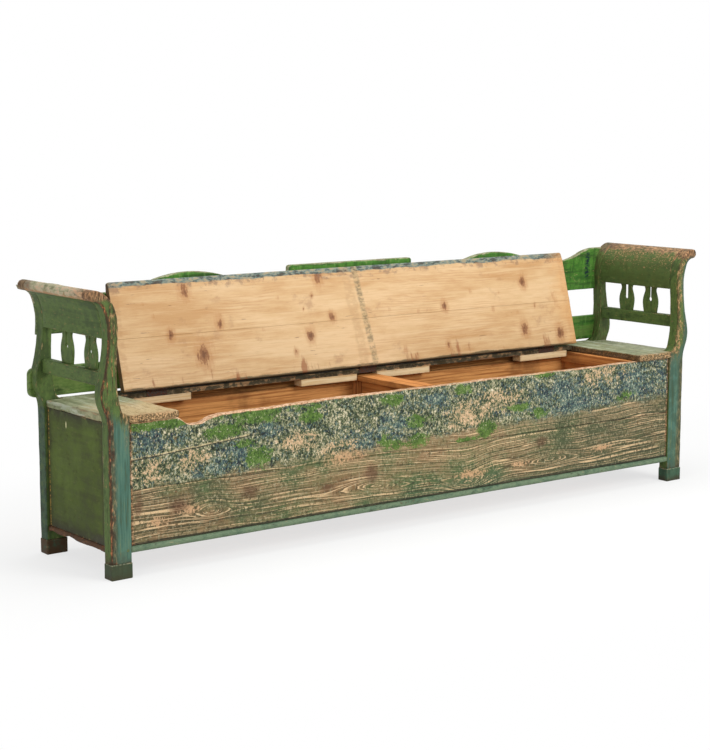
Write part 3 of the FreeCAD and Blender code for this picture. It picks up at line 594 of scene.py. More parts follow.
# %% Posts above the seat
def arm_marks(f, front, right, out, cracks, streaks):
    """The right arm is blue-green outside and flecked with ochre inside."""
    right_arm = front * right * f.z.step(0.42, 0.47)
    f.lay((56, 84, 74), right_arm * (out + streaks * 2.0).step(1.0, 1.5) * 0.7)
    speck = f.noise(200.0, 0, 4, 0.72, squeeze=(1, 1, 0.6))
    warm = right_arm * (out - cracks * 2.0).step(-0.5, -1.2) * speck.step(0.46, 0.58)
    f.lay(f.mix((128, 96, 60), (190, 152, 108), speck.step(0.52, 0.62)), warm * 0.8)


def post_marks(f, rough, flake):
    """Cracks above the seat, the marks of leg and arm, two worn arrises, dark rolls, brown feet."""
    out, front, right = f.field("out"), f.y.step(-0.2110, -0.2122), f.x.step(-0.5, 0.5)
    cracks = f.noise((130, 130, 8), 5, 4, 0.7)
    split = f.ramp(flake, (0.44, 46, 40, 24), (0.55, 84, 66, 40), (0.64, 176, 120, 76))
    f.lay(split, front * f.z.step(0.42, 0.47) * cracks.step(0.51, 0.60) * 0.8)
    streaks = front_leg_marks(f, rough, flake, front, right, out)
    arm_marks(f, front, right, out, cracks, streaks)
    by_arris = (f.field("edge") + rough * 0.020).step(0.0180, 0.0130) * f.y.step(-0.19, -0.20)
    rust = f.ramp(flake, (0.46, 54, 36, 26), (0.57, 86, 54, 36), (0.66, 176, 104, 64))
    f.lay(rust, by_arris * out.step(0.35, 0.6) * f.z.step(0.80, 0.77) * right.step(1.0, 0.6) * 0.85)
    pale = f.ramp(flake, (0.46, 60, 56, 34), (0.55, 116, 92, 58), (0.62, 196, 156, 112))
    f.lay(pale, by_arris * out.step(-0.35, -0.6) * f.z.step(0.30, 0.50) * 0.7)
    ends = f.ramp(flake, (0.42, 66, 48, 34), (0.50, 110, 84, 58), (0.60, 168, 126, 90))
    f.lay(ends, (f.z + rough * 0.03).step(0.795, 0.808) * 0.85)
    f.lay((62, 48, 30), (f.z + rough * 0.14).step(0.16, 0.08) * 0.7)


def back_post_marks(f, rough, flake):
    """A darker blue-green outside below the seat; the right post is browner, and the rolls dark."""
    low = (f.z + rough * 0.05).step(0.475, 0.455) * abs(f.x).step(1.1470, 1.1485)
    f.lay(f.ramp(rough, (0.40, 40, 48, 34), (0.50, 50, 72, 60), (0.60, 70, 86, 58)), low * 0.85)
    f.lay((78, 68, 40), f.x.step(0.0, 0.1) * flake.step(0.52, 0.44) * rough.step(0.40, 0.55) * 0.7)
    roll = (f.z + rough * 0.03).step(0.795, 0.808)
    f.lay(f.ramp(flake, (0.42, 60, 48, 34), (0.58, 120, 100, 74)), roll * 0.8)


post_green = painted("post_paint", 2, olive, 0.7, -0.3, 0.8, 8.0, 0.6, post_marks)
green_z = painted("green_paint_along_z", 2, olive, 0.6, -0.6, 0.7, 6.0, 0.5, back_post_marks)
print("posts:", post_green.name, green_z.name)

# %% [markdown]
# The rolled top of a crest is rubbed by every elbow: grey-green and pink-orange on the left one,
# ochre flecks that fade out below the roll on the right one. The feet stand in the wet of the
# scrubbing brush, so they darken towards the floor.

# %% Crests and feet
def crest_marks(f, rough, flake):
    """The two rolls, each rubbed in its own way, browner at the front and at the back."""
    right = f.x.step(-0.5, 0.5)
    f.lay((68, 80, 40), right * rough.step(0.38, 0.56) * 0.7)
    speck = f.noise(230.0, 0, 4, 0.72, squeeze=(1, 0.6, 1))
    inside = right * (f.z + rough * 0.22 + speck * 0.34).step(1.050, 1.120)
    rubbed = f.ramp(speck, (0.42, 96, 72, 46), (0.52, 140, 106, 68), (0.60, 184, 148, 106))
    f.lay(rubbed, inside * 0.8)
    top = (f.z + rough * 0.05 - right * 0.008).step(0.812, 0.822)
    pale = ((0.40, 100, 106, 72), (0.47, 150, 152, 122), (0.54, 184, 172, 146),
            (0.60, 196, 160, 130))
    f.lay(f.ramp(rough * 0.6 + flake * 0.4, *pale), top * right.step(1.2, 0.6) * 0.88)
    front = (f.y + rough * 0.16 - right * 0.5).step(0.0, -0.08)
    warm = f.ramp(flake, (0.42, 72, 50, 34), (0.50, 134, 98, 66), (0.60, 192, 146, 106))
    f.lay(warm, top * front * 0.65)
    f.lay((92, 70, 52), top * (f.y + rough * 0.16).step(0.19, 0.24) * 0.7)


def foot_marks(f, rough, flake):
    """Dark at the floor, browner at the back, with a thin pale line at the joint to the leg."""
    f.lay((56, 42, 28), (f.z + rough * 0.03).step(0.040, 0.018) * 0.7)
    f.lay((60, 62, 42), f.x.step(0.5, -0.5) * rough.step(0.34, 0.50) * 0.7)
    f.lay((70, 48, 30), f.y.step(0.10, 0.12) * rough.step(0.36, 0.54) * 0.85)
    joint = f.z.step(0.0415, 0.0430) * flake.step(0.44, 0.54) * f.y.step(0.0, -0.1)
    f.lay((150, 152, 126), joint * 0.45)


crest_green = painted("crest_paint", 1, olive, 0.7, -0.5, 0.6, 4.0, 0.5, crest_marks)
foot_coats = ((62, 90, 70), (48, 68, 50), (104, 108, 82), (140, 120, 88), umber, dirt)
foot_paint = painted("foot_paint", 2, foot_coats, 0.7, -0.2, 0.4, 3.0, marks=foot_marks)
print("crests and feet:", crest_green.name, foot_paint.name)

# %% [markdown]
# The end panels lie behind the legs, where no one rubs them; the seat is the opposite, its end
# boards worn pale on top and brown at the front. The panels' rims are darker: painted shade under
# the seat board, above the rail and beside the legs.

# %% Panels and seat boards
def panel_marks(f, rough, flake):
    """Faint clouds, painted shade round the rims, an ochre line beside the back leg, a stain low at
    the front and one white scratch."""
    blotch = f.noise((8, 8, 5), 4, 5, 0.65)
    f.lay((92, 112, 44), blotch.step(0.50, 0.64) * 0.3)
    f.lay((50, 56, 26), blotch.step(0.50, 0.36) * 0.35)
    # Painted shade: the rims darken under the seat board, above the rail and beside the legs.
    off_z = abs(f.z + rough * 0.05 - 0.293).step(0.130, 0.178)
    off_y = abs(f.y + rough * 0.05 - 0.022).step(0.128, 0.170)
    f.lay((42, 38, 24), (off_z | off_y) * rough.step(0.28, 0.50) * 0.85)
    line = f.y.step(0.1525, 0.1545) * f.y.step(0.1590, 0.1570) * flake.step(0.46, 0.56)
    f.lay((168, 128, 66), line * 0.8)
    stain = f.y.step(-0.06, -0.14) * (f.z + rough * 0.12).step(0.20, 0.14)
    f.lay((62, 58, 48), stain * 0.7)
    near = abs(f.y + rough * 0.006 - 0.053)
    scratch = (near * 3.0 + abs(f.z - 0.405)).step(0.014, 0.008)
    f.lay((226, 220, 170), scratch * near.step(0.0030, 0.0012))


def seat_marks(f, rough, flake):
    """Pale streaks on top, tan towards the front of the left board, and worn brown arrises."""
    streaks = f.noise((60, 6, 30), 1, 5, 0.65)
    f.lay((190, 196, 176), streaks.step(0.52, 0.64) * 0.6)
    f.lay((104, 112, 82), streaks.step(0.44, 0.34) * 0.6)
    left = f.x.step(0.5, -0.5) * (f.x + rough * 0.06).step(-1.13, -1.06)
    tan = f.mix((196, 172, 130), (150, 122, 84), flake.step(0.52, 0.60))
    f.lay(tan, left * (f.y + streaks * 0.20).step(0.14, 0.02) * 0.8)
    f.lay((150, 112, 74), (f.y + rough * 0.10).step(-0.125, -0.165) * rough.step(0.44, 0.54) * 0.6)
    fine = f.noise(200.0, 0, 4, 0.72)
    front = f.ramp(fine, (0.42, 54, 44, 26), (0.50, 112, 92, 58), (0.60, 196, 156, 114))
    f.lay(front, (f.y + rough * 0.004).step(-0.2150, -0.2165) * 0.9)
    inner = f.ramp(fine, (0.44, 58, 40, 26), (0.54, 98, 70, 42), (0.62, 140, 106, 68))
    f.lay(inner, (abs(f.x) + rough * 0.006).step(0.9345, 0.9320) * 0.9)


panel_coats = ((70, 84, 28), (58, 66, 22), (96, 84, 48), (130, 120, 70), ochre, dirt)
panel_green = painted("panel_paint", 1, panel_coats, 0.5, 0.1, 0.3, 5.0, marks=panel_marks)
seat_coats = ((152, 156, 124), (108, 114, 82), (136, 122, 90), (186, 154, 120), umber, (66, 58, 36))
seat_x = painted("seat_paint", 1, seat_coats, 0.9, -0.1, 0.8, 13.0, marks=seat_marks)
print("panels and seat:", panel_green.name, seat_x.name)

# %% [markdown]
# ## The box front
#
# The two wide boards of the front took the most wear of all. Seen close, the upper one is a mosaic
# of flecks a few millimetres across: pale wood, slate, teal and, near the top, green. Noise alone
# would spread them evenly, but on the real board they gather in patches. The patches are listed
# ellipses, written into the mesh as fields from 0 to 1.

# %% Patches on the front
patches = {
    "green": [
        (-660, 409, 78, 21), (-770, 386, 70, 26), (-1030, 420, 45, 14),
        (-960, 424, 46, 12), (-650, 295, 43, 35), (-700, 337, 42, 15),
        (-460, 394, 38, 24), (-170, 276, 40, 25), (-150, 412, 48, 18),
        (-50, 335, 49, 25), (-40, 276, 58, 23), (-150, 270, 40, 19),
        (130, 419, 43, 17), (500, 434, 42, 13), (870, 328, 39, 20),
        (370, 337, 53, 16), (240, 278, 43, 26), (460, 311, 36, 16),
        (160, 254, 51, 10),
    ],
    "blue": [
        (-620, 376, 43, 23), (-790, 282, 42, 35), (-720, 315, 49, 29),
        (-280, 282, 78, 37), (-860, 268, 20, 17), (-150, 321, 64, 37),
        (570, 370, 131, 41), (900, 373, 150, 56), (660, 314, 173, 41),
        (1000, 293, 61, 43), (-1020, 385, 65, 28), (30, 394, 66, 25),
    ],
    "smudge": [
        (-923, 186, 50, 26), (-683, 193, 40, 26), (-231, 190, 30, 34),
        (479, 206, 34, 24), (-1060, 205, 20, 50), (-400, 168, 40, 14),
    ],
    "bare": [
        (-330, 263, 92, 37), (-870, 309, 41, 24), (-1000, 148, 40, 17),
        (-1020, 294, 46, 28), (170, 331, 77, 39), (770, 406, 97, 27),
        (170, 141, 86, 14), (760, 158, 58, 11), (390, 148, 54, 10),
        (-500, 320, 59, 24), (300, 367, 88, 26), (-890, 172, 47, 18),
    ],
}


def patch_field(points, ellipses):
    """The largest of exp(-0.7 d^2) over the ellipses (x, z, half width, half height, in
    millimetres), with d the distance in ellipse radii."""
    x, z, rx, rz = np.array(ellipses).T / 1000
    d_squared = ((points[:, :1] - x) / rx) ** 2 + ((points[:, 2:3] - z) / rz) ** 2
    return np.exp(-0.7 * d_squared).max(1)


print({kind: len(ellipses) for kind, ellipses in patches.items()}, "patches")

# %% [markdown]
# Where the paint is thin, the grain shows as pale lines that close into ovals round four eyes. A
# height map does this: along the heart line of the board the "flow" is small, it grows up and down
# from there, and the lines are drawn where it passes whole steps.

# %% Flow of the grain on the front
eyes = [(-0.815, 0.150, 0.050), (-0.215, 0.150, 0.110), (0.160, 0.126, 0.090),
        (0.520, 0.147, 0.110)]
heart_z, eye_half_height, line_spacing = 0.146, 0.021, 0.0050


def grain_flow(points):
    """sqrt(d^2 + r^2 (1 - e)), with d the distance from a heart line that runs through the eyes
    (x, z, reach), r the half height of an eye and e near 1 at the eyes."""
    x, z, reach = np.array(eyes).T
    along, up = points[:, 0], points[:, 2]
    near = np.exp(-(((points[:, :1] - x) / reach) ** 2))
    heart = heart_z + (near * (z - heart_z)).sum(1)
    slow = 0.006 * np.sin(3.3 * along + 1) + 0.004 * np.sin(9 * along + 8 * up)
    slow += 0.0016 * np.sin(23 * along + 30 * up)
    return np.sqrt((up + slow - heart) ** 2 + eye_half_height**2 * (1 - np.clip(near.sum(1), 0, 1)))


def grain_lines(f, fleck):
    """Thin pale lines where flow / spacing, made a little uneven, passes a whole number, and the
    dark lines beside them."""
    flow = f.field("flow")
    wobble = f.noise((2.2, 1, 30), 0, 3, 0.6)
    uneven = f.noise(60.0, 0, 2, 0.5, place=f.add("ShaderNodeCombineXYZ", {0: flow}))
    saw = (flow * (1 / line_spacing) + wobble * 2.6 + uneven * 5.5 + fleck * 0.30).calc("FRACT")
    shown = f.noise((6.0, 1, 60), (3, 0, 3), 4, 0.6)
    pale = saw.step(0.58, 0.84) * saw.step(1.0, 0.90) * shown.step(0.36, 0.54)
    return pale, saw.step(0.30, 0.12) * shown.step(0.30, 0.50)


print(len(eyes), "eyes in the grain, a line every", line_spacing * 1000, "mm")

# %% [markdown]
# The lower board is stained wood with grain lines. The upper one has the same ground, and four
# coats flake over it. One fractal noise read through a row of colours gives patches whose borders
# are flecks themselves, which is how worn paint looks.

# %% Stained ground of the front
stains = ((0.42, 78, 94, 58), (0.50, 114, 104, 70), (0.58, 122, 96, 66))


def front_noises(f):
    """Noises that all coats of the front share, from flecks of a few millimetres to wide clouds."""
    fleck = f.noise(120.0, 0, 6, 0.74, squeeze=(1, 1, 0.75))
    fine = f.noise(210.0, (3, 0, 3), 3, 0.7, squeeze=(1, 1, 0.8))
    torn = [f.noise(15.0, (n, n, 2 * n), 9, 0.84, squeeze=(1, 1, 1.3)) for n in (1, 4, 8)]
    wide = f.noise(4.5, (4, 0, 1), 4, 0.6, squeeze=(1, 1, 1.7))
    return fleck, fine, torn, wide


def stained_ground(f, fleck, torn, wide):
    """Green and brown stain with grain lines, bare patches and smudges. Gives the pale lines."""
    line, dark_line = grain_lines(f, fleck)
    f.colour = f.ramp(wide * 0.6 + torn[0] * 0.4, *stains)
    f.lay((64, 88, 64), (f.z + wide * 0.10).step(0.20, 0.13) * f.x.step(-0.7, 0.3) * 0.75)
    f.lay((66, 76, 52), f.x.step(0.1, 0.7) * torn[1].step(0.36, 0.52) * 0.8)
    far = abs(f.x).step(0.35, 0.85) * torn[2].step(0.40, 0.54)
    f.lay((76, 76, 54), far * 0.65)
    f.lay((58, 56, 40), fleck.step(0.47, 0.36) * 0.8)
    f.lay((50, 50, 36), dark_line * 0.6)
    f.lay((212, 180, 138), line * (fleck + wide * 0.6 - far * 0.06).step(0.64, 0.80) * 0.9)
    f.lay((158, 154, 124), fleck.step(0.54, 0.63) * 0.6)
    bare_on = (f.field("bare") * 0.20 + fleck * 0.6 + torn[1] * 0.4).step(0.62, 0.70)
    f.lay(f.mix((206, 164, 124), (160, 118, 80), line), bare_on * 0.75)
    f.lay((80, 50, 36), (f.field("smudge") * 0.5 + torn[1] * 0.8).step(0.60, 0.92) * 0.65)
    return line


print(len(stains), "tones in the stain")

# %% [markdown]
# Each coat of flakes has its own noise and its own row of colours. It is laid where a sum of noises
# and of the patch fields passes a level, so that its flecks crowd together inside the patches.

# %% Four coats of flakes
leaf = ((0.42, 42, 58, 28), (0.48, 66, 94, 36), (0.55, 86, 116, 48), (0.61, 146, 150, 106))


def flakes(f, fleck, fine, torn, wide):
    """Pale and dark flakes of every coat, then blue-grey ones, then green ones."""
    blue, green, bare = f.field("blue"), f.field("green"), f.field("bare")
    painted_on = (f.z + torn[2] * 0.10 - f.x * 0.030).step(0.312, 0.345)
    clump = f.noise(30.0, (9, 2, 5), 6, 0.72, squeeze=(1, 1, 1.3))
    tone = torn[0] * 0.40 + clump * 0.38 + fleck * 0.62 + fine * 0.42
    tone = tone + bare * 0.035 - blue * 0.03 - 0.428
    worn = f.ramp(
        tone, (0.38, 30, 34, 28), (0.44, 56, 66, 42), (0.475, 84, 94, 68), (0.505, 110, 112, 80),
        (0.545, 154, 150, 120), (0.585, 190, 178, 148), (0.64, 220, 212, 188),
    )
    warm = tone.step(0.50, 0.56) * (bare + torn[1] * 1.6).step(0.90, 1.25)
    f.lay(f.mix(worn, (196, 154, 114), warm * 0.7), painted_on)
    flick = f.noise(140.0, 6, 5, 0.74, squeeze=(1, 1, 0.62))
    cold = torn[1] * 0.50 - clump * 0.30 + flick * 0.80 + blue * 0.11 - bare * 0.05
    chill = f.ramp(
        torn[2] * 0.4 + fleck * 0.6, (0.42, 34, 40, 46), (0.47, 50, 66, 76), (0.51, 70, 94, 88),
        (0.55, 114, 130, 114), (0.60, 184, 184, 162),
    )
    f.lay(chill, cold.step(0.545, 0.570) * painted_on * 0.92)
    high = (f.z + torn[0] * 0.03).step(0.425, 0.440) * f.x.step(0.2, -0.7)
    leafy = torn[2] + fleck * 0.40 + clump * 0.40 + green * 0.335 + high * 0.17 + wide * 0.15
    f.lay(f.ramp(torn[1] * 0.5 + fleck * 0.5, *leaf), leafy.step(1.165, 1.185) * 0.95)
    f.lay((38, 42, 34), fleck.step(0.42, 0.35) * painted_on * 0.7)
    f.lay((222, 210, 184), fine.step(0.61, 0.69) * painted_on * 0.7)


def crack_and_rim(f, fleck, torn, wide):
    """A crack that starts at the left end, and bare wood along the worn top edge."""
    over = f.z - f.x * 0.0655 + wide * 0.012 - 0.4127
    started = f.x.step(-0.64, -0.70)
    f.lay((190, 172, 130), abs(over).step(0.0030, 0.0012) * started * fleck.step(0.40, 0.55) * 0.8)
    f.lay((44, 40, 34), abs(over + 0.004).step(0.0026, 0.0010) * started * 0.8)
    depth = f.field("down") + fleck * 0.010 + torn[0] * 0.014 - f.x.step(0.0, -0.5) * 0.003
    bare_rim = f.ramp(fleck, (0.42, 150, 108, 74), (0.52, 208, 168, 134), (0.60, 224, 190, 160))
    f.lay(bare_rim, depth.step(0.0145, 0.0120) * 0.95)


print(len(leaf), "tones in the green coat")

# %% [markdown]
# The two boards share all but the flakes, so one function makes both finishes. A dark seam and worn
# ends go on last, since dirt came last on the real bench too, and with them a painted shadow along
# the foot of the lower board, above the bead.

# %% Finishes of the two front boards
def front_paint(name, flecked):
    """Stained ground, flakes on the upper board, a dark seam between the boards, a painted shadow
    along the foot above the bead and worn ends beside the posts."""
    f = Finish(name, 0.6)
    fleck, fine, torn, wide = front_noises(f)
    line = stained_ground(f, fleck, torn, wide)
    if flecked:
        flakes(f, fleck, fine, torn, wide)
        crack_and_rim(f, fleck, torn, wide)
    seam = abs(f.z + fine * 0.004 - 0.2495).step(0.0016, 0.0006)
    f.lay((52, 38, 30), seam * (f.x + wide * 0.5).step(0.35, 0.75) * 0.8)
    # Painted shadow: a dark band along the foot of the board, where it meets the bead rail.
    f.lay((36, 38, 28), (f.z + fleck * 0.006).step(0.1010, 0.0985) * 0.85)
    worn_end = f.ramp(fleck, (0.44, 58, 40, 28), (0.52, 112, 70, 44), (0.58, 176, 118, 74))
    f.lay(worn_end, abs(f.x + torn[0] * 0.03 - 0.015).step(1.070, 1.083) * 0.7)
    return f.done(torn[0] * 0.4 + line * 0.2 + fleck * 0.4, 0.0010, fleck * 0.3 + 0.45)


front_upper_finish = front_paint("flecked_front_paint", True)
front_lower_finish = front_paint("stained_front_paint", False)
print("front finishes:", front_upper_finish.name, front_lower_finish.name)

# %% [markdown]
# ## The lid's pine
#
# The underside of the lid was never painted, only oiled and worn to a honey colour. Its look is all
# knots: dark, a little longer across the grain, and with the grain flowing round them. Each knot
# bends the grain by adding a hill to the place across the board. The fields are worked out while
# the lid is still shut, so the grain goes on unbroken when the boards are turned up.

# %% Knots and turning of the lid
knots = [
    (-631, 87, 17), (-737, 156, 9), (-558, 184, 9), (-668, 292, 12), (-224, 115, 11),
    (-129, 173, 8), (-196, 245, 4), (717, 237, 11), (691, 71, 12), (856, 44, 13), (856, 173, 7),
    (755, 150, 4), (337, 40, 7), (345, 175, 9), (-866, 207, 5), (-290, 70, 6), (-160, 300, 12),
    (670, 130, 3), (150, 40, 5), (-820, 258, 3), (-790, 218, 3), (-330, 245, 3), (-235, 205, 3),
    (230, 165, 3), (110, 178, 3), (560, 150, 4), (600, 205, 3), (-400, 150, 3), (470, 218, 3),
]
pin_y, pin_z, lid_turn = 0.113, 0.4665, math.radians(105.36)


def opened(points):
    """Points turned about the hinge pin. The knots (x, distance from the pin, radius) are in
    millimetres. A hill is 0.8 r exp(-a^2 / 4) tanh(c / r), with r the radius, c the distance across
    the grain, and a the distance from the knot in radii, in which c counts for two thirds."""
    x, y, z = points.T
    knot_x, knot_s, radius = (np.array(knots) / 1000).T
    across = (pin_y - y)[:, None] - knot_s
    away = np.hypot(x[:, None] - knot_x, across / 1.5) / radius
    hill = (radius * 0.8 * np.exp(-0.25 * away**2) * np.tanh(across / radius)).sum(1)
    fields = {"shut": points, "knot": away.min(1), "flow": pin_y - y + hill}
    cos, sin = math.cos(-lid_turn), math.sin(-lid_turn)
    dy, dz = y - pin_y, z - pin_z
    return np.stack([x, pin_y + dy * cos - dz * sin, pin_z + dy * sin + dz * cos], 1), fields


print(len(knots), "knots in the lid")

# %% [markdown]
# The finish of the lid is laid in the same order as on the real board: the wood, the knots, then
# what years left on it. A batten has printed a speckled band across the middle, the hinge edge is
# dirty with rust runs, and the free edge took drips of the outer paint. The outer face is painted
# like the seat.

# %% Wood of the lid
honey = ((0.38, 210, 178, 136), (0.50, 200, 165, 121), (0.62, 188, 148, 102))


def lid_wood(f, flow, coarse, fine, soft, tone):
    """Honey pine with late wood where flow passes whole steps, and knots. Gives both."""
    bend = f.noise((1.6, 9.0, 1), (2, 0, 0), 4, 0.6)
    ring = (flow * 105.0 + bend * 9.0 + f.x * 0.8).calc("FRACT")
    shown = f.noise((2.4, 16, 1), (8, 1, 0), 4, 0.6)
    late = ring.step(0.2, 0.85) * ring.step(1.0, 0.9) * shown.step(0.46, 0.62)
    f.colour = f.ramp(tone, *honey)
    f.lay((178, 130, 84), late * 0.35)
    f.lay((172, 126, 82), fine.step(0.50, 0.70) * 0.40)
    f.lay((212, 184, 144), coarse.step(0.46, 0.34) * 0.40)
    knot = f.field("knot") + f.noise((150, 34, 1), 0, 5, 0.66) * 2.4 + soft * 2.0 - 2.2
    f.lay((172, 120, 74), knot.step(2.8, 1.2) * 0.45)
    f.lay((126, 80, 52), knot.step(1.30, 0.85) * 0.80)
    f.lay((84, 54, 38), knot.step(0.60, 0.35) * 0.55)
    return late, knot


print(len(honey), "tones in the honey of the lid")

# %% [markdown]
# Stains follow the edges of the lid. Each of their masks compares a place with a limit, and some
# noise added to the place lets the border of the stain wander.

# %% Stains and edges of the lid
drips = ((0.40, 56, 56, 52), (0.47, 78, 96, 92), (0.53, 112, 128, 120), (0.60, 150, 138, 110))


def lid_edges(f, fine, soft, stain, spot):
    """Dirt and rust runs at the hinge edge, drips at the free edge, dull and dark ends."""
    f.lay((62, 60, 42), (f.y + stain * 0.020 + fine * 0.008).step(0.1185, 0.1215) * 0.8)
    runs = f.noise((16, 3, 1), (6, 0, 0), 5, 0.7)
    f.lay((138, 78, 44), (f.y + runs * 0.30).step(0.255, 0.285) * runs.step(0.56, 0.66) * 0.7)
    f.lay((124, 100, 84), (f.y - stain * 0.10).step(-0.232, -0.246) * soft.step(0.46, 0.60) * 0.6)
    f.lay(f.ramp(spot, *drips), (f.y - stain * 0.022 - fine * 0.010).step(-0.2165, -0.2190) * 0.95)
    ends = abs(f.x)
    f.lay((170, 128, 88), (ends + stain * 0.02).step(0.905, 0.914) * spot.step(0.42, 0.56) * 0.35)
    f.lay((208, 152, 92), (f.x + stain * 0.30).step(0.98, 1.12) * 0.5)
    sawn = f.mix((58, 46, 30), (120, 84, 52), fine.step(0.48, 0.64))
    f.lay(sawn, ends.step(0.9250, 0.9258) * 0.9)


def batten_print(f, soft, stain, spot):
    """The slanting band that a batten left: speckled in the middle, browner beside it."""
    off = f.x - f.y * 0.09
    speckle = f.ramp(spot, (0.42, 104, 94, 72), (0.52, 158, 138, 102), (0.60, 190, 160, 118))
    band = abs(off + stain * 0.012 - 0.015).step(0.016, 0.006)
    f.lay(speckle, band * soft.step(0.34, 0.50) * 0.7)
    beside = abs(off + stain * 0.06 + 0.002).step(0.024, 0.012)
    f.lay((176, 142, 102), beside * spot.step(0.36, 0.52) * 0.4)


def outer_face(f, fine):
    """Rubbed paint of the seat, worn through to the undercoat and then to the wood."""
    rubs = f.noise((7, 60, 30), 1, 5, 0.65)
    worn = f.noise((9, 14, 9), (7, 1, 1), 8, 0.74)
    seat = f.ramp(rubs, (0.36, 104, 112, 82), (0.48, 148, 154, 124), (0.60, 186, 190, 166))
    seat = f.mix(seat, (112, 100, 70), worn.step(0.54, 0.57))
    bare = f.mix((186, 150, 110), (150, 112, 74), fine.step(0.46, 0.62))
    f.lay(f.mix(seat, bare, worn.step(0.57, 0.60)), f.z.step(0.4600, 0.4612))


print(len(drips), "tones in the drips of the outer paint")

# %% [markdown]
# The whole finish reads the field "shut" where others read object coordinates. It holds the place
# that each point has while the lid is shut, so grain and stains turn with the wood.

# %% Finish of the lid
def lid_finish():
    f = Finish("oiled_lid_pine", 0.5, field="shut")
    coarse, fine = grain(f, 0, 110.0, 3.0, 5.0)
    tone = f.noise((2.6, 12, 1), (5, 1, 0), 6, 0.66)
    soft = f.noise(40.0, 0, 5, 0.66)
    late, knot = lid_wood(f, f.field("flow"), coarse, fine, soft, tone)
    stain = f.noise((9, 12, 1), (1, 4, 0), 6, 0.7)
    f.lay((152, 112, 80), stain.step(0.57, 0.72) * 0.45)
    f.lay((92, 66, 48), f.noise((14, 150, 1), (3, 3, 0), 3, 0.6).step(0.70, 0.74) * 0.7)
    spot = f.noise((40, 90, 40), 0, 5, 0.72)
    lid_edges(f, fine, soft, stain, spot)
    batten_print(f, soft, stain, spot)
    outer_face(f, fine)
    return f.done(late * 0.2 + fine * 0.5 + knot.step(1.2, 0.6) * 0.2, 0.0008, tone * 0.2 + 0.42)


lid_pine = lid_finish()
print(lid_pine.name, "has", len(lid_pine.node_tree.nodes), "nodes")

# %% [markdown]
# ## Iron and pegs
#
# Hinges, screws and nails are small and already right in the model, so they keep their meshes and
# only get a finish: brown-black iron with raised patches of rust, olive-brown for nails that were
# painted over with the boards round them, and end grain for the pegs. The two outer runners, each
# with its guide, keep their mesh as well and get the pine of the box.

# %% Old iron, nail heads and peg ends
def old_iron():
    f = Finish("old_iron", 0.6)
    f.shader.inputs["Metallic"].default_value = 0.6
    rust = f.noise(160.0, 0, 6, 0.7).step(0.42, 0.62)
    f.colour = f.mix((70, 66, 62), (104, 62, 40), rust)
    f.lay((40, 36, 34), f.noise(900.0, 0, 3).step(0.5, 0.7))
    return f.done(rust * 0.6 + f.noise(700.0) * 0.4, 0.0006, rust * 0.4 + 0.42)


def nail_heads():
    f = Finish("painted_nail_heads", 0.7)
    speck = f.noise(420.0, 0, 4, 0.7)
    f.colour = f.ramp(speck, (0.40, 70, 66, 46), (0.50, 104, 96, 68), (0.60, 120, 86, 58))
    return f.done(speck, 0.0008)


def peg_ends():
    f = Finish("peg_end_grain", 0.7)
    speck = f.noise(900.0, 0, 4, 0.7)
    f.colour = f.mix((120, 104, 66), (78, 70, 50), speck.step(0.4, 0.62))
    f.lay((80, 104, 66), f.noise(240.0).step(0.42, 0.55))
    return f.done(speck, 0.0008)


def dress(finish, *names):
    """Gives CAD nodes a finish in place of the plain one that they came with."""
    for name in names:
        for slot in nodes[name].material_slots:
            slot.material = finish


hinges = [name for name in nodes if name.startswith("hinge_")]
nails = [name for name in nodes if name.endswith("_nails")]
dress(old_iron(), *hinges)
dress(nail_heads(), *nails)
dress(peg_ends(), "frame_pegs")
dress(aged_y, "box_runner_left", "box_runner_right")
print(len(hinges), "nodes of hinges and", len(nails), "of nails have a new finish")

# %% [markdown]
# ## Posts and arms
#
# Each post is one plank: a straight leg with an S-shaped arm above it that rolls over at the top.
# The outline is a chain of arcs, each setting off in the direction in which the last one stopped,
# which is how a pattern of that kind is drawn with compasses.

# %% Outline of a post
leg_out, leg_in, foot_top = 1.150, 1.085, 0.045
arm_outside, arm_inside, scroll_top = 0.432, 0.461, 0.815
outer = arcs(
    [(leg_out, arm_outside), (1.161, 0.477), (1.172, 0.522), (1.167, 0.556), (1.146, 0.690),
     (1.160, 0.764), (1.190, 0.784), (1.190, scroll_top)],
    math.pi / 2,
)
inner = arcs(
    [(1.190, scroll_top), (1.160, 0.806), (1.121, 0.752), (1.116, 0.690), (1.122, 0.575),
     (1.110, 0.480), (leg_in, arm_inside)],
    math.pi,
)
leg_rise = np.linspace((leg_out, foot_top), (leg_out, arm_outside), 34)[:-1]
leg_fall = np.linspace((leg_in, arm_inside), (leg_in, foot_top), 34)[1:]
post_outline = np.concatenate([leg_rise, outer, inner[1:], leg_fall])


def out_field(points):
    """-1 at a post's inner side, 1 at its outer side: twice the distance from the middle of the
    post at that height, over its width there."""
    z, x = points[:, 2], np.abs(points[:, 0])
    rise, fall = np.concatenate([leg_rise, outer]), np.concatenate([inner[1:], leg_fall])[::-1]
    far, near = np.interp(z, rise[:, 1], rise[:, 0]), np.interp(z, fall[:, 1], fall[:, 0])
    return points, {"out": (2 * x - far - near) / np.maximum(far - near, 0.01)}


print(len(post_outline), "points round a post")

# %% [markdown]
# The crest is the board that closes the arm at the top. It follows the same S between the posts, so
# its outline is the part of the post's above the splats.

# %% Posts, crests, rails and feet of the ends
def roomy(outline, room=0.0085):
    """Drops the points of an outline that lie within a distance of a sharp corner, so that rings
    drawn in from it don't cross. The corners themselves stay."""
    side = np.roll(outline, -1, 0) - outline
    side /= np.linalg.norm(side, axis=1, keepdims=True)
    sharp = (side * np.roll(side, 1, 0)).sum(1) < 0.8
    apart = np.linalg.norm(outline[:, None] - outline[sharp], axis=-1)
    return outline[sharp | (apart.min(1) > room)]


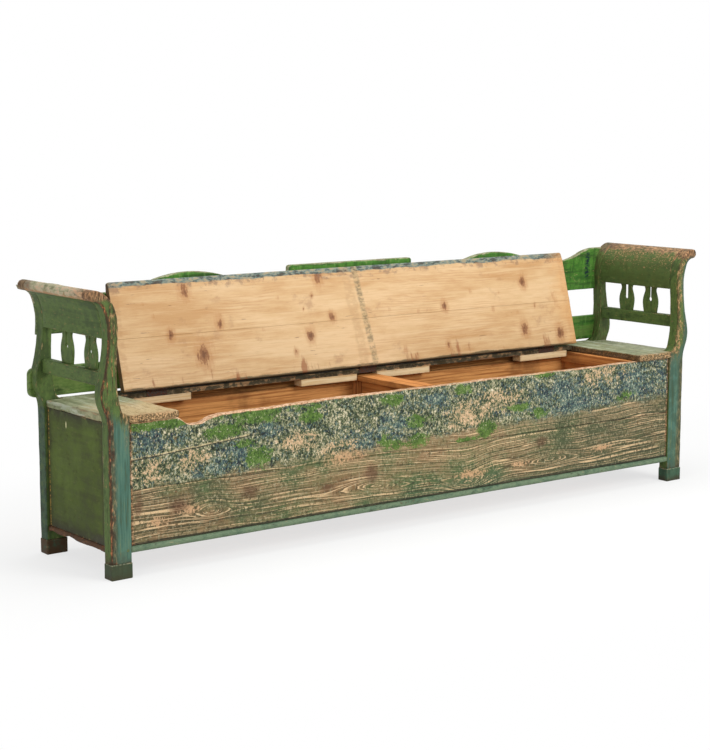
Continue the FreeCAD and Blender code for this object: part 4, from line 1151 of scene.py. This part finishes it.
def cut_above(path, height):
    """The part of a rising or falling path above a height, with its end moved onto the height."""
    rising = path[-1, 1] > path[0, 1]
    path = path if rising else path[::-1]
    end = [np.interp(height, path[:, 1], path[:, 0]), height]
    part = np.concatenate([[end], path[path[:, 1] > height + 0.0004]])
    return part if rising else part[::-1]


crest_low = 0.677
crest_outline = np.concatenate([cut_above(outer, crest_low), cut_above(inner[1:], crest_low)])
post_faces = {"front": (-0.2128, -0.173), "back": (0.167, 0.2068)}
for side in ("right", "left"):
    for place, faces in post_faces.items():
        paint = post_green if place == "front" else green_z
        outline = roomy(at_end(side, post_outline))
        seed = ord(side[0]) + ord(place[0])
        plank("post_%s_%s" % (place, side), paint, outline, *faces, (0, 2, 1), out_field, seed=seed)
        board("foot_%s_%s" % (place, side), foot_paint, span={2: (0.0, foot_top)}, radius=0.0022,
              seed=ord(place[1]))
    plank("arm_crest_" + side, crest_green, at_end(side, crest_outline), -0.1729, 0.1669,
          (0, 2, 1), radius=0.0006, walls=16, seed=5)
    board("arm_rail_" + side, green_y, span={1: (-0.1735, 0.1675)}, radius=0.003, seed=9)
print("posts and arms:", sum(made.values()), "faces so far")

# %% [markdown]
# ## Splats
#
# The two slats in each arm are cut to the shape of a vase with a keyhole slot. The side is a smooth
# curve through eight widths, and the slot and its round foot are part of the same closed outline,
# so the saw's cut has rounded arrises like the rest.

# %% Splat outline and pieces
def smooth_through(at, places, values):
    """Cubic pieces through values at places, with the slope at each place taken from its
    neighbours: h00 v0 + h10 d m0 + h01 v1 + h11 d m1 on each piece."""
    slopes = np.gradient(values, places)
    i = np.clip(np.searchsorted(places, at) - 1, 0, len(places) - 2)
    d = places[i + 1] - places[i]
    t = (at - places[i]) / d
    start = (1 + 2 * t) * (1 - t) ** 2 * values[i] + t * (1 - t) ** 2 * d * slopes[i]
    return start + t**2 * (3 - 2 * t) * values[i + 1] + t**2 * (t - 1) * d * slopes[i + 1]


splat_rises = np.array([0, 0.20, 0.40, 0.62, 0.75, 0.845, 0.93, 1])
splat_widths = np.array([0.84, 0.94, 1.0, 0.90, 0.77, 0.69, 0.73, 0.84])


def splat_outline(middle, slot, low=0.5841, high=0.6769, half=0.035, hole=0.008):
    """The vase's two sides, half * width at each rise, joined by the slot and its circle."""
    rise = np.linspace(0, 1, 34)
    wide = smooth_through(rise, splat_rises, splat_widths)
    right = np.stack([half * wide, low + (high - low) * rise], 1)
    slot_low = high - (high - low) * 0.48
    above = math.sqrt(hole**2 - slot**2)
    fall = np.linspace((slot, high), (slot, slot_low + above), 10)[:-1]
    start = math.asin(above / hole)
    turn = np.linspace(start, -math.pi - start, 22)
    circle = np.stack([hole * np.cos(turn), slot_low + hole * np.sin(turn)], 1)
    climb, left = ((part * [-1, 1])[::-1] for part in (fall, right))
    return np.concatenate([right, fall, circle, climb, left]) + [middle, 0]


splats = {"front_right": (-0.068, 0.0045), "back_right": (0.048, 0.0075),
          "front_left": (-0.094, 0.0045), "back_left": (0.043, 0.0045)}
for name, (middle, slot) in splats.items():
    faces = (1.1305, 1.1385) if name.endswith("right") else (-1.1385, -1.1305)
    plank("arm_splat_" + name, splat_green, splat_outline(middle, slot), *faces, (1, 2, 0),
          radius=0.0010, depths=(0.0008,), walls=3)
print("a splat has", made["arm_splat_front_right"], "faces")

# %% [markdown]
# ## The back
#
# The upper rail rises in a ramp at each end, dips, and has two low humps beside a raised middle
# block. Its ends follow the outline of the arms. It is drawn once for the right half and mirrored.

# %% Upper rail
def between(path, low, high):
    """The part of a rising path between two heights, with its ends moved onto them."""
    z = path[:, 1]
    keep = path[(z > low + 0.0004) & (z < high - 0.0004)]
    ends = np.interp([low, high], z, path[:, 0])
    return np.concatenate([[[ends[0], low]], keep, [[ends[1], high]]])


under, dip, shoulder, block = 0.650, 0.760, 0.799, 0.807
hump = [(0.9095, dip), (0.767, 0.7835), (0.6247, block), (0.4823, 0.7835), (0.340, dip)]
right_half = np.concatenate([
    between(outer, under, shoulder),
    np.linspace((1.2, shoulder), (1.12, shoulder), 8),
    arcs([(1.12, shoulder), (1.035, 0.7795), (0.95, dip)], math.pi)[1:],
    np.linspace((0.95, dip), (0.9095, dip), 6)[1:-1],
    arcs(hump, math.pi),
    np.linspace((0.340, dip), (0.252, dip), 10)[1:-1],
    [(0.252, dip), (0.252, 0.779)],
    arcs([(0.252, 0.797), (0.242, block)], math.pi / 2, 0.003),
    np.linspace((0.242, block), (0.0, block), 20)[1:],
])
left_half = at_end("left", right_half)
bottom = np.linspace((left_half[-1, 0], under), (right_half[0, 0], under), 160)[1:-1]
upper_outline = np.concatenate([right_half, left_half[1:], bottom])
top_line = np.concatenate([left_half, right_half[1:]])
top_line = top_line[(np.abs(top_line[:, 0]) < 1.18) & (top_line[:, 1] > 0.70)]
top_line = top_line[np.argsort(top_line[:, 0], kind="stable")]


def below_top(points):
    """How far each point lies under the rail's shaped top edge."""
    return points, {"down": np.interp(points[:, 0], *top_line.T) - points[:, 2]}


rail_faces = (0.197, 0.219)
plank("back_upper_rail", green_x, roomy(upper_outline), *rail_faces, (0, 2, 1), below_top,
      radius=0.0035, depths=(0.001,), seed=3)
print(len(upper_outline), "points round the upper rail")

# %% [markdown]
# The lower rail is straight. Only the corners of its ends are rounded, each with a quarter circle,
# so its outline is put together from arrays of points directly.

# %% Lower rail with rounded ends
low, high, end, round_off = 0.467, 0.552, 1.178, 0.018
quarter = np.linspace(0, np.pi / 2, 7)
sin, cos = np.sin(quarter), np.cos(quarter)
lower_end = np.concatenate([
    [end, low] + round_off * np.stack([sin - 1, 1 - cos], 1),
    np.linspace((end, low + round_off), (end, high - round_off), 6)[1:-1],
    [end, high] + round_off * np.stack([cos - 1, sin - 1], 1),
])
straight = end - round_off
lower_outline = np.concatenate([
    lower_end, np.linspace((straight, high), (-straight, high), 190)[1:-1],
    at_end("left", lower_end), np.linspace((-straight, low), (straight, low), 190)[1:-1],
])
plank("back_lower_rail", green_x, lower_outline, *rail_faces, (0, 2, 1), radius=0.003, seed=8)
print(len(lower_outline), "points round the lower rail")

# %% [markdown]
# ## Ends and rails under the seat
#
# The end panels sit a little behind the legs. Along the bottom, each rail has a half-round bead.
# Its section is carried along the length as one closed profile. The left end's rail was chipped
# from below by brooms and boots, so its underside is lifted in three places.

# %% Panels and beaded rails
rail_low, rail_high, rail_deep = 0.070, 0.090, 0.042


def bead_profile():
    """Section of a rail: a half circle in front, then a plain block behind."""
    turn = np.linspace(np.pi / 2, 3 * np.pi / 2, 13)
    height = rail_high - rail_low
    r = height / 2
    nose = np.stack([r + r * np.cos(turn), r + r * np.sin(turn)], 1)
    middle = rail_deep / 2
    behind = [(middle, 0), (rail_deep, 0), (rail_deep, height), (middle, height)]
    return np.concatenate([nose, behind])


def beaded_rail(name, finish, along, start, end, face, outward, chips=()):
    """Carries the bead profile from start to end. Each chip (place, half width, height) lifts the
    underside by height times exp(-d^4), with d the distance from the place in half widths."""
    profile = bead_profile()
    profile = profile if (along == 0) == (outward < 0) else profile[::-1]
    stations = np.linspace(start, end, 2 + int(abs(end - start) / 0.006))[:, None]
    u, v = profile.T
    lift = np.zeros(stations.shape)
    for place, half_width, height in chips:
        lift = np.maximum(lift, height * np.exp(-(((stations - place) / half_width) ** 4)))
    if chips:
        lift = lift + 0.0012 * (1 + ripple(stations, 0.09, 6))
    points = np.empty((len(stations), len(profile), 3))
    points[..., along] = stations
    points[..., 1 - along] = face - outward * (u + 0.0008 * ripple(stations, 0.3, 2) * (u < 0.012))
    points[..., 2] = rail_low + np.maximum(v, lift * np.clip((0.034 - u) / 0.01, 0, 1))
    quads, caps = stitched(*points.shape[:2])
    quads = np.roll(quads, -1, 1)  # the first corner sets the diagonal that splits a quad
    edge = np.broadcast_to(0.0060 + np.abs(u - 0.001) * 0.9, points.shape[:2])
    put(name, finish, points.reshape(-1, 3), quads, {"edge": edge.ravel()}, caps)


worn_below = ((0.035, 0.030, 0.0085), (-0.100, 0.045, 0.004), (0.140, 0.018, 0.005))
for side, sign, chips in (("right", 1, ()), ("left", -1, worn_below)):
    board("end_panel_" + side, panel_green, radius=0.0012, seed=2)
    beaded_rail("end_bottom_rail_" + side, low_y, 1, -0.1725, 0.1665, sign * 1.146, sign, chips)
beaded_rail("front_bottom_rail", bead_x, 0, -1.0845, 1.0845, -0.212, -1)
beaded_rail("rear_bottom_rail", green_x, 0, -1.0845, 1.0845, 0.200, 1)
board("rear_panel", aged_x, radius=0.001)
board("rear_top_rail", aged_x)
print("front bead has", made["front_bottom_rail"], "faces")

# %% [markdown]
# ## Seat
#
# At each end a fixed board is notched round the posts. The lid's two boards lie between them when
# it is shut. They are computed shut and then turned about the hinge pin with one rotation of the
# whole array, so that the grain and knots belong to the wood.

# %% Seat boards and lid
seat_low, seat_high, seat_front, lid_half, joint = 0.441, 0.462, -0.219, 0.9265, -0.044
end_corners = [
    (0.928, seat_front), (1.0846, seat_front), (1.0846, -0.1726), (1.142, -0.1726), (1.142, 0.1666),
    (1.0846, 0.1666), (1.0846, 0.197), (0.928, 0.197),
]
for side in ("right", "left"):
    outline = at_end(side, roomy(dense(end_corners)))
    plank("seat_end_board_" + side, seat_x, outline, seat_low, seat_high, (0, 1, 2), radius=0.004,
          walls=3, wear=0.6, seed=ord(side[0]))


def lid_rounding(points):
    """8 mm along the free edge, 0.15 mm at the joint and 1.8 mm elsewhere."""
    by_joint = np.exp(-(((points[:, 1] - joint) / 0.012) ** 2))
    by_front = np.clip((-0.19 - points[:, 1]) / 0.02, 0, 1)
    return 0.0018 + 0.0062 * by_front - 0.00165 * by_joint


gap = 0.00006
depths = {"lid_rear_board": (joint + gap, 0.1115), "lid_front_board": (seat_front, joint - gap)}
for name, ends in depths.items():
    span = {0: (-lid_half, lid_half), 1: ends, 2: (seat_low, seat_high)}
    board(name, lid_pine, opened, span, radius=lid_rounding, step=0.010, wear=0.15, seed=4)
print("lid boards:", made["lid_rear_board"], made["lid_front_board"], "faces")

# %% [markdown]
# ## The bed box
#
# The two boards of the front are dense meshes, because the patches of paint are stored at their
# points. The top edge of the upper one is worn down in a long hollow towards the left. The hollow
# follows a smooth curve through places a few centimetres apart, as on the real board.

# %% Box front
wear_x = np.array([-1083, -925, -907, -896, -868, -843, -824, -790, -708, -640, -575, -430,
                   1083]) / 1000
wear_down = np.array([0, 0, 12, 20, 25, 24, 15, 7, 4, 4.5, 2, 0, 0]) / 1000
front_top, hollow_low = 0.4406, 0.340


def marked(points):
    """The fields of the front, without any change to the shape."""
    fields = {kind: patch_field(points, ellipses) for kind, ellipses in patches.items()}
    return points, {"flow": grain_flow(points), **fields}


def worn_top(points):
    """Squeezes the heights above the foot of the hollow so that the top follows the wear."""
    points, fields = marked(points)
    fields["down"] = front_top - points[:, 2]
    drop = np.maximum(smooth_through(points[:, 0], wear_x, wear_down), 0)
    share = np.clip((points[:, 2] - hollow_low) / (front_top - hollow_low), 0, 1)
    uneven = 0.0014 * (1 + ripple(points[:, 0], 0.6, 12)) * share**8
    points[:, 2] -= drop * share**1.5 + uneven
    return points, fields


face = {1: (-0.2078, -0.182)}
board("box_front_upper", front_upper_finish, worn_top, face, 0.0035, 0.0075, 0.7, 6)
board("box_front_lower", front_lower_finish, marked, face, 0.0016, 0.0075, 0.5, 7)
print("upper front board:", made["box_front_upper"], "faces")

# %% [markdown]
# Inside, the box is plain pine that has darkened. All these boards come from one table that gives
# each its finish, with the grain along its length.

# %% Boards inside the box and under the seat
inside_boards = {
    aged_x: ["box_back", "box_bottom_board_1", "box_bottom_board_2", "box_bottom_board_3"],
    aged_y: ["box_end_left", "box_end_right", "box_end_cleat_left", "box_end_cleat_right",
             "box_divider", "box_bearer", "box_runner_centre"],
    aged_z: ["box_divider_strip_left", "box_divider_strip_right"],
    new_x: ["seat_batten_inner_left", "seat_batten_inner_right", "seat_batten_outer_left",
            "seat_batten_outer_right"],
    strip_x: ["seat_rear_strip"],
}
for finish, names in inside_boards.items():
    for number, name in enumerate(names):
        board(name, finish, radius=0.0016, seed=20 + number)
print("nodes that keep their own mesh:", [name for name in nodes if name not in made])

# %% [markdown]
# ## Floor, light and camera
#
# Floor and sky look white to the camera, in gloss and through glass, yet give the bench a weaker,
# plain light. That keeps the ground as white as in a catalogue without washing out the colours of
# the wood. The floor keeps a soft shadow.

# %% Floor and sky
def seen_directly(tree):
    """1 for rays from the camera, from gloss and through glass, and 0 for all other light."""
    path = tree.nodes.new("ShaderNodeLightPath")
    seen = path.outputs["Is Camera Ray"]
    for kind in ("Is Glossy Ray", "Is Transmission Ray"):
        either = tree.nodes.new("ShaderNodeMath")
        either.operation = "MAXIMUM"
        tree.links.new(seen, either.inputs[0])
        tree.links.new(path.outputs[kind], either.inputs[1])
        seen = either.outputs[0]
    return seen


def studio_floor():
    """A pale floor that glows white where it is seen, a little less round the bench."""
    f = Finish("studio_floor", 0.9)
    f.shader.inputs["Base Color"].default_value = (0.80, 0.80, 0.79, 1.0)
    glow = f.add("ShaderNodeEmission", {"Color": (1, 1, 1, 1), "Strength": 1.0})
    away = f.add("ShaderNodeVectorMath", {0: f.squeezed((0.45, 1, 1))}, "Value", operation="LENGTH")
    share = Value(f, seen_directly(f.tree)) * (away.step(0.45, 1.5) * 0.30 + 0.70)
    blend = f.add("ShaderNodeMixShader", {0: share, 1: Value(f, f.shader.outputs[0]), 2: glow})
    f.tree.links.new(blend.socket, f.tree.nodes["Material Output"].inputs["Surface"])
    return f.material


floor_half = 14.0
corner = np.array([(-1, -1, 0), (1, -1, 0), (1, 1, 0), (-1, 1, 0)]) * floor_half
floor_mesh = bpy.data.meshes.new("floor")
floor_mesh.from_pydata(corner.tolist(), [], [[0, 1, 2, 3]])
floor_mesh.materials.append(studio_floor())
floor = bpy.data.objects.new("floor", floor_mesh)
bpy.context.scene.collection.objects.link(floor)

world = bpy.data.worlds.new("studio")
bpy.context.scene.world = world
world.use_nodes = True
tree = world.node_tree
sky = tree.nodes["Background"]
sky.inputs["Color"].default_value = (1, 1, 1, 1)
strength = tree.nodes.new("ShaderNodeMapRange")
strength.inputs["To Min"].default_value = 0.55
tree.links.new(seen_directly(tree), strength.inputs["Value"])
tree.links.new(strength.outputs[0], sky.inputs["Strength"])
print("floor", 2 * floor_half, "m wide")

# %% [markdown]
# A large lamp at the front right, a weaker one at the left and one overhead give a soft light that
# shows the colours about as written. The camera's place and lens were worked out from points of the
# bench in the photograph.

# %% Lamps and camera
def lamp(name, place, target, size, power):
    """A square area lamp that faces a target."""
    data = bpy.data.lights.new(name, "AREA")
    data.shape, data.size, data.energy = "SQUARE", size, power
    light = bpy.data.objects.new(name, data)
    light.location = place
    light.rotation_euler = (Vector(target) - Vector(place)).to_track_quat("-Z", "Y").to_euler()
    bpy.context.scene.collection.objects.link(light)


lamp("key", (1.5, -4.5, 3.2), (0, 0, 0.4), 2.6, 190)
lamp("fill", (-4.5, -2.0, 1.6), (0, 0, 0.4), 2.2, 45)
lamp("top", (0, 0.2, 4.2), (0, 0, 0.3), 3.0, 90)

camera_data = bpy.data.cameras.new("camera")
camera_data.lens, camera_data.sensor_width = 86.104, 36.0
camera = bpy.data.objects.new("camera", camera_data)
camera.location = (-3.5575, -4.4810, 1.3019)
camera.rotation_euler = (math.radians(90 - 8.445), 0.0, math.radians(-37.351))
bpy.context.scene.collection.objects.link(camera)
bpy.context.scene.camera = camera
bpy.context.scene.view_settings.view_transform = "Standard"
print("lamps:", [item.name for item in bpy.data.lights], "camera at", camera.location.to_tuple(3))
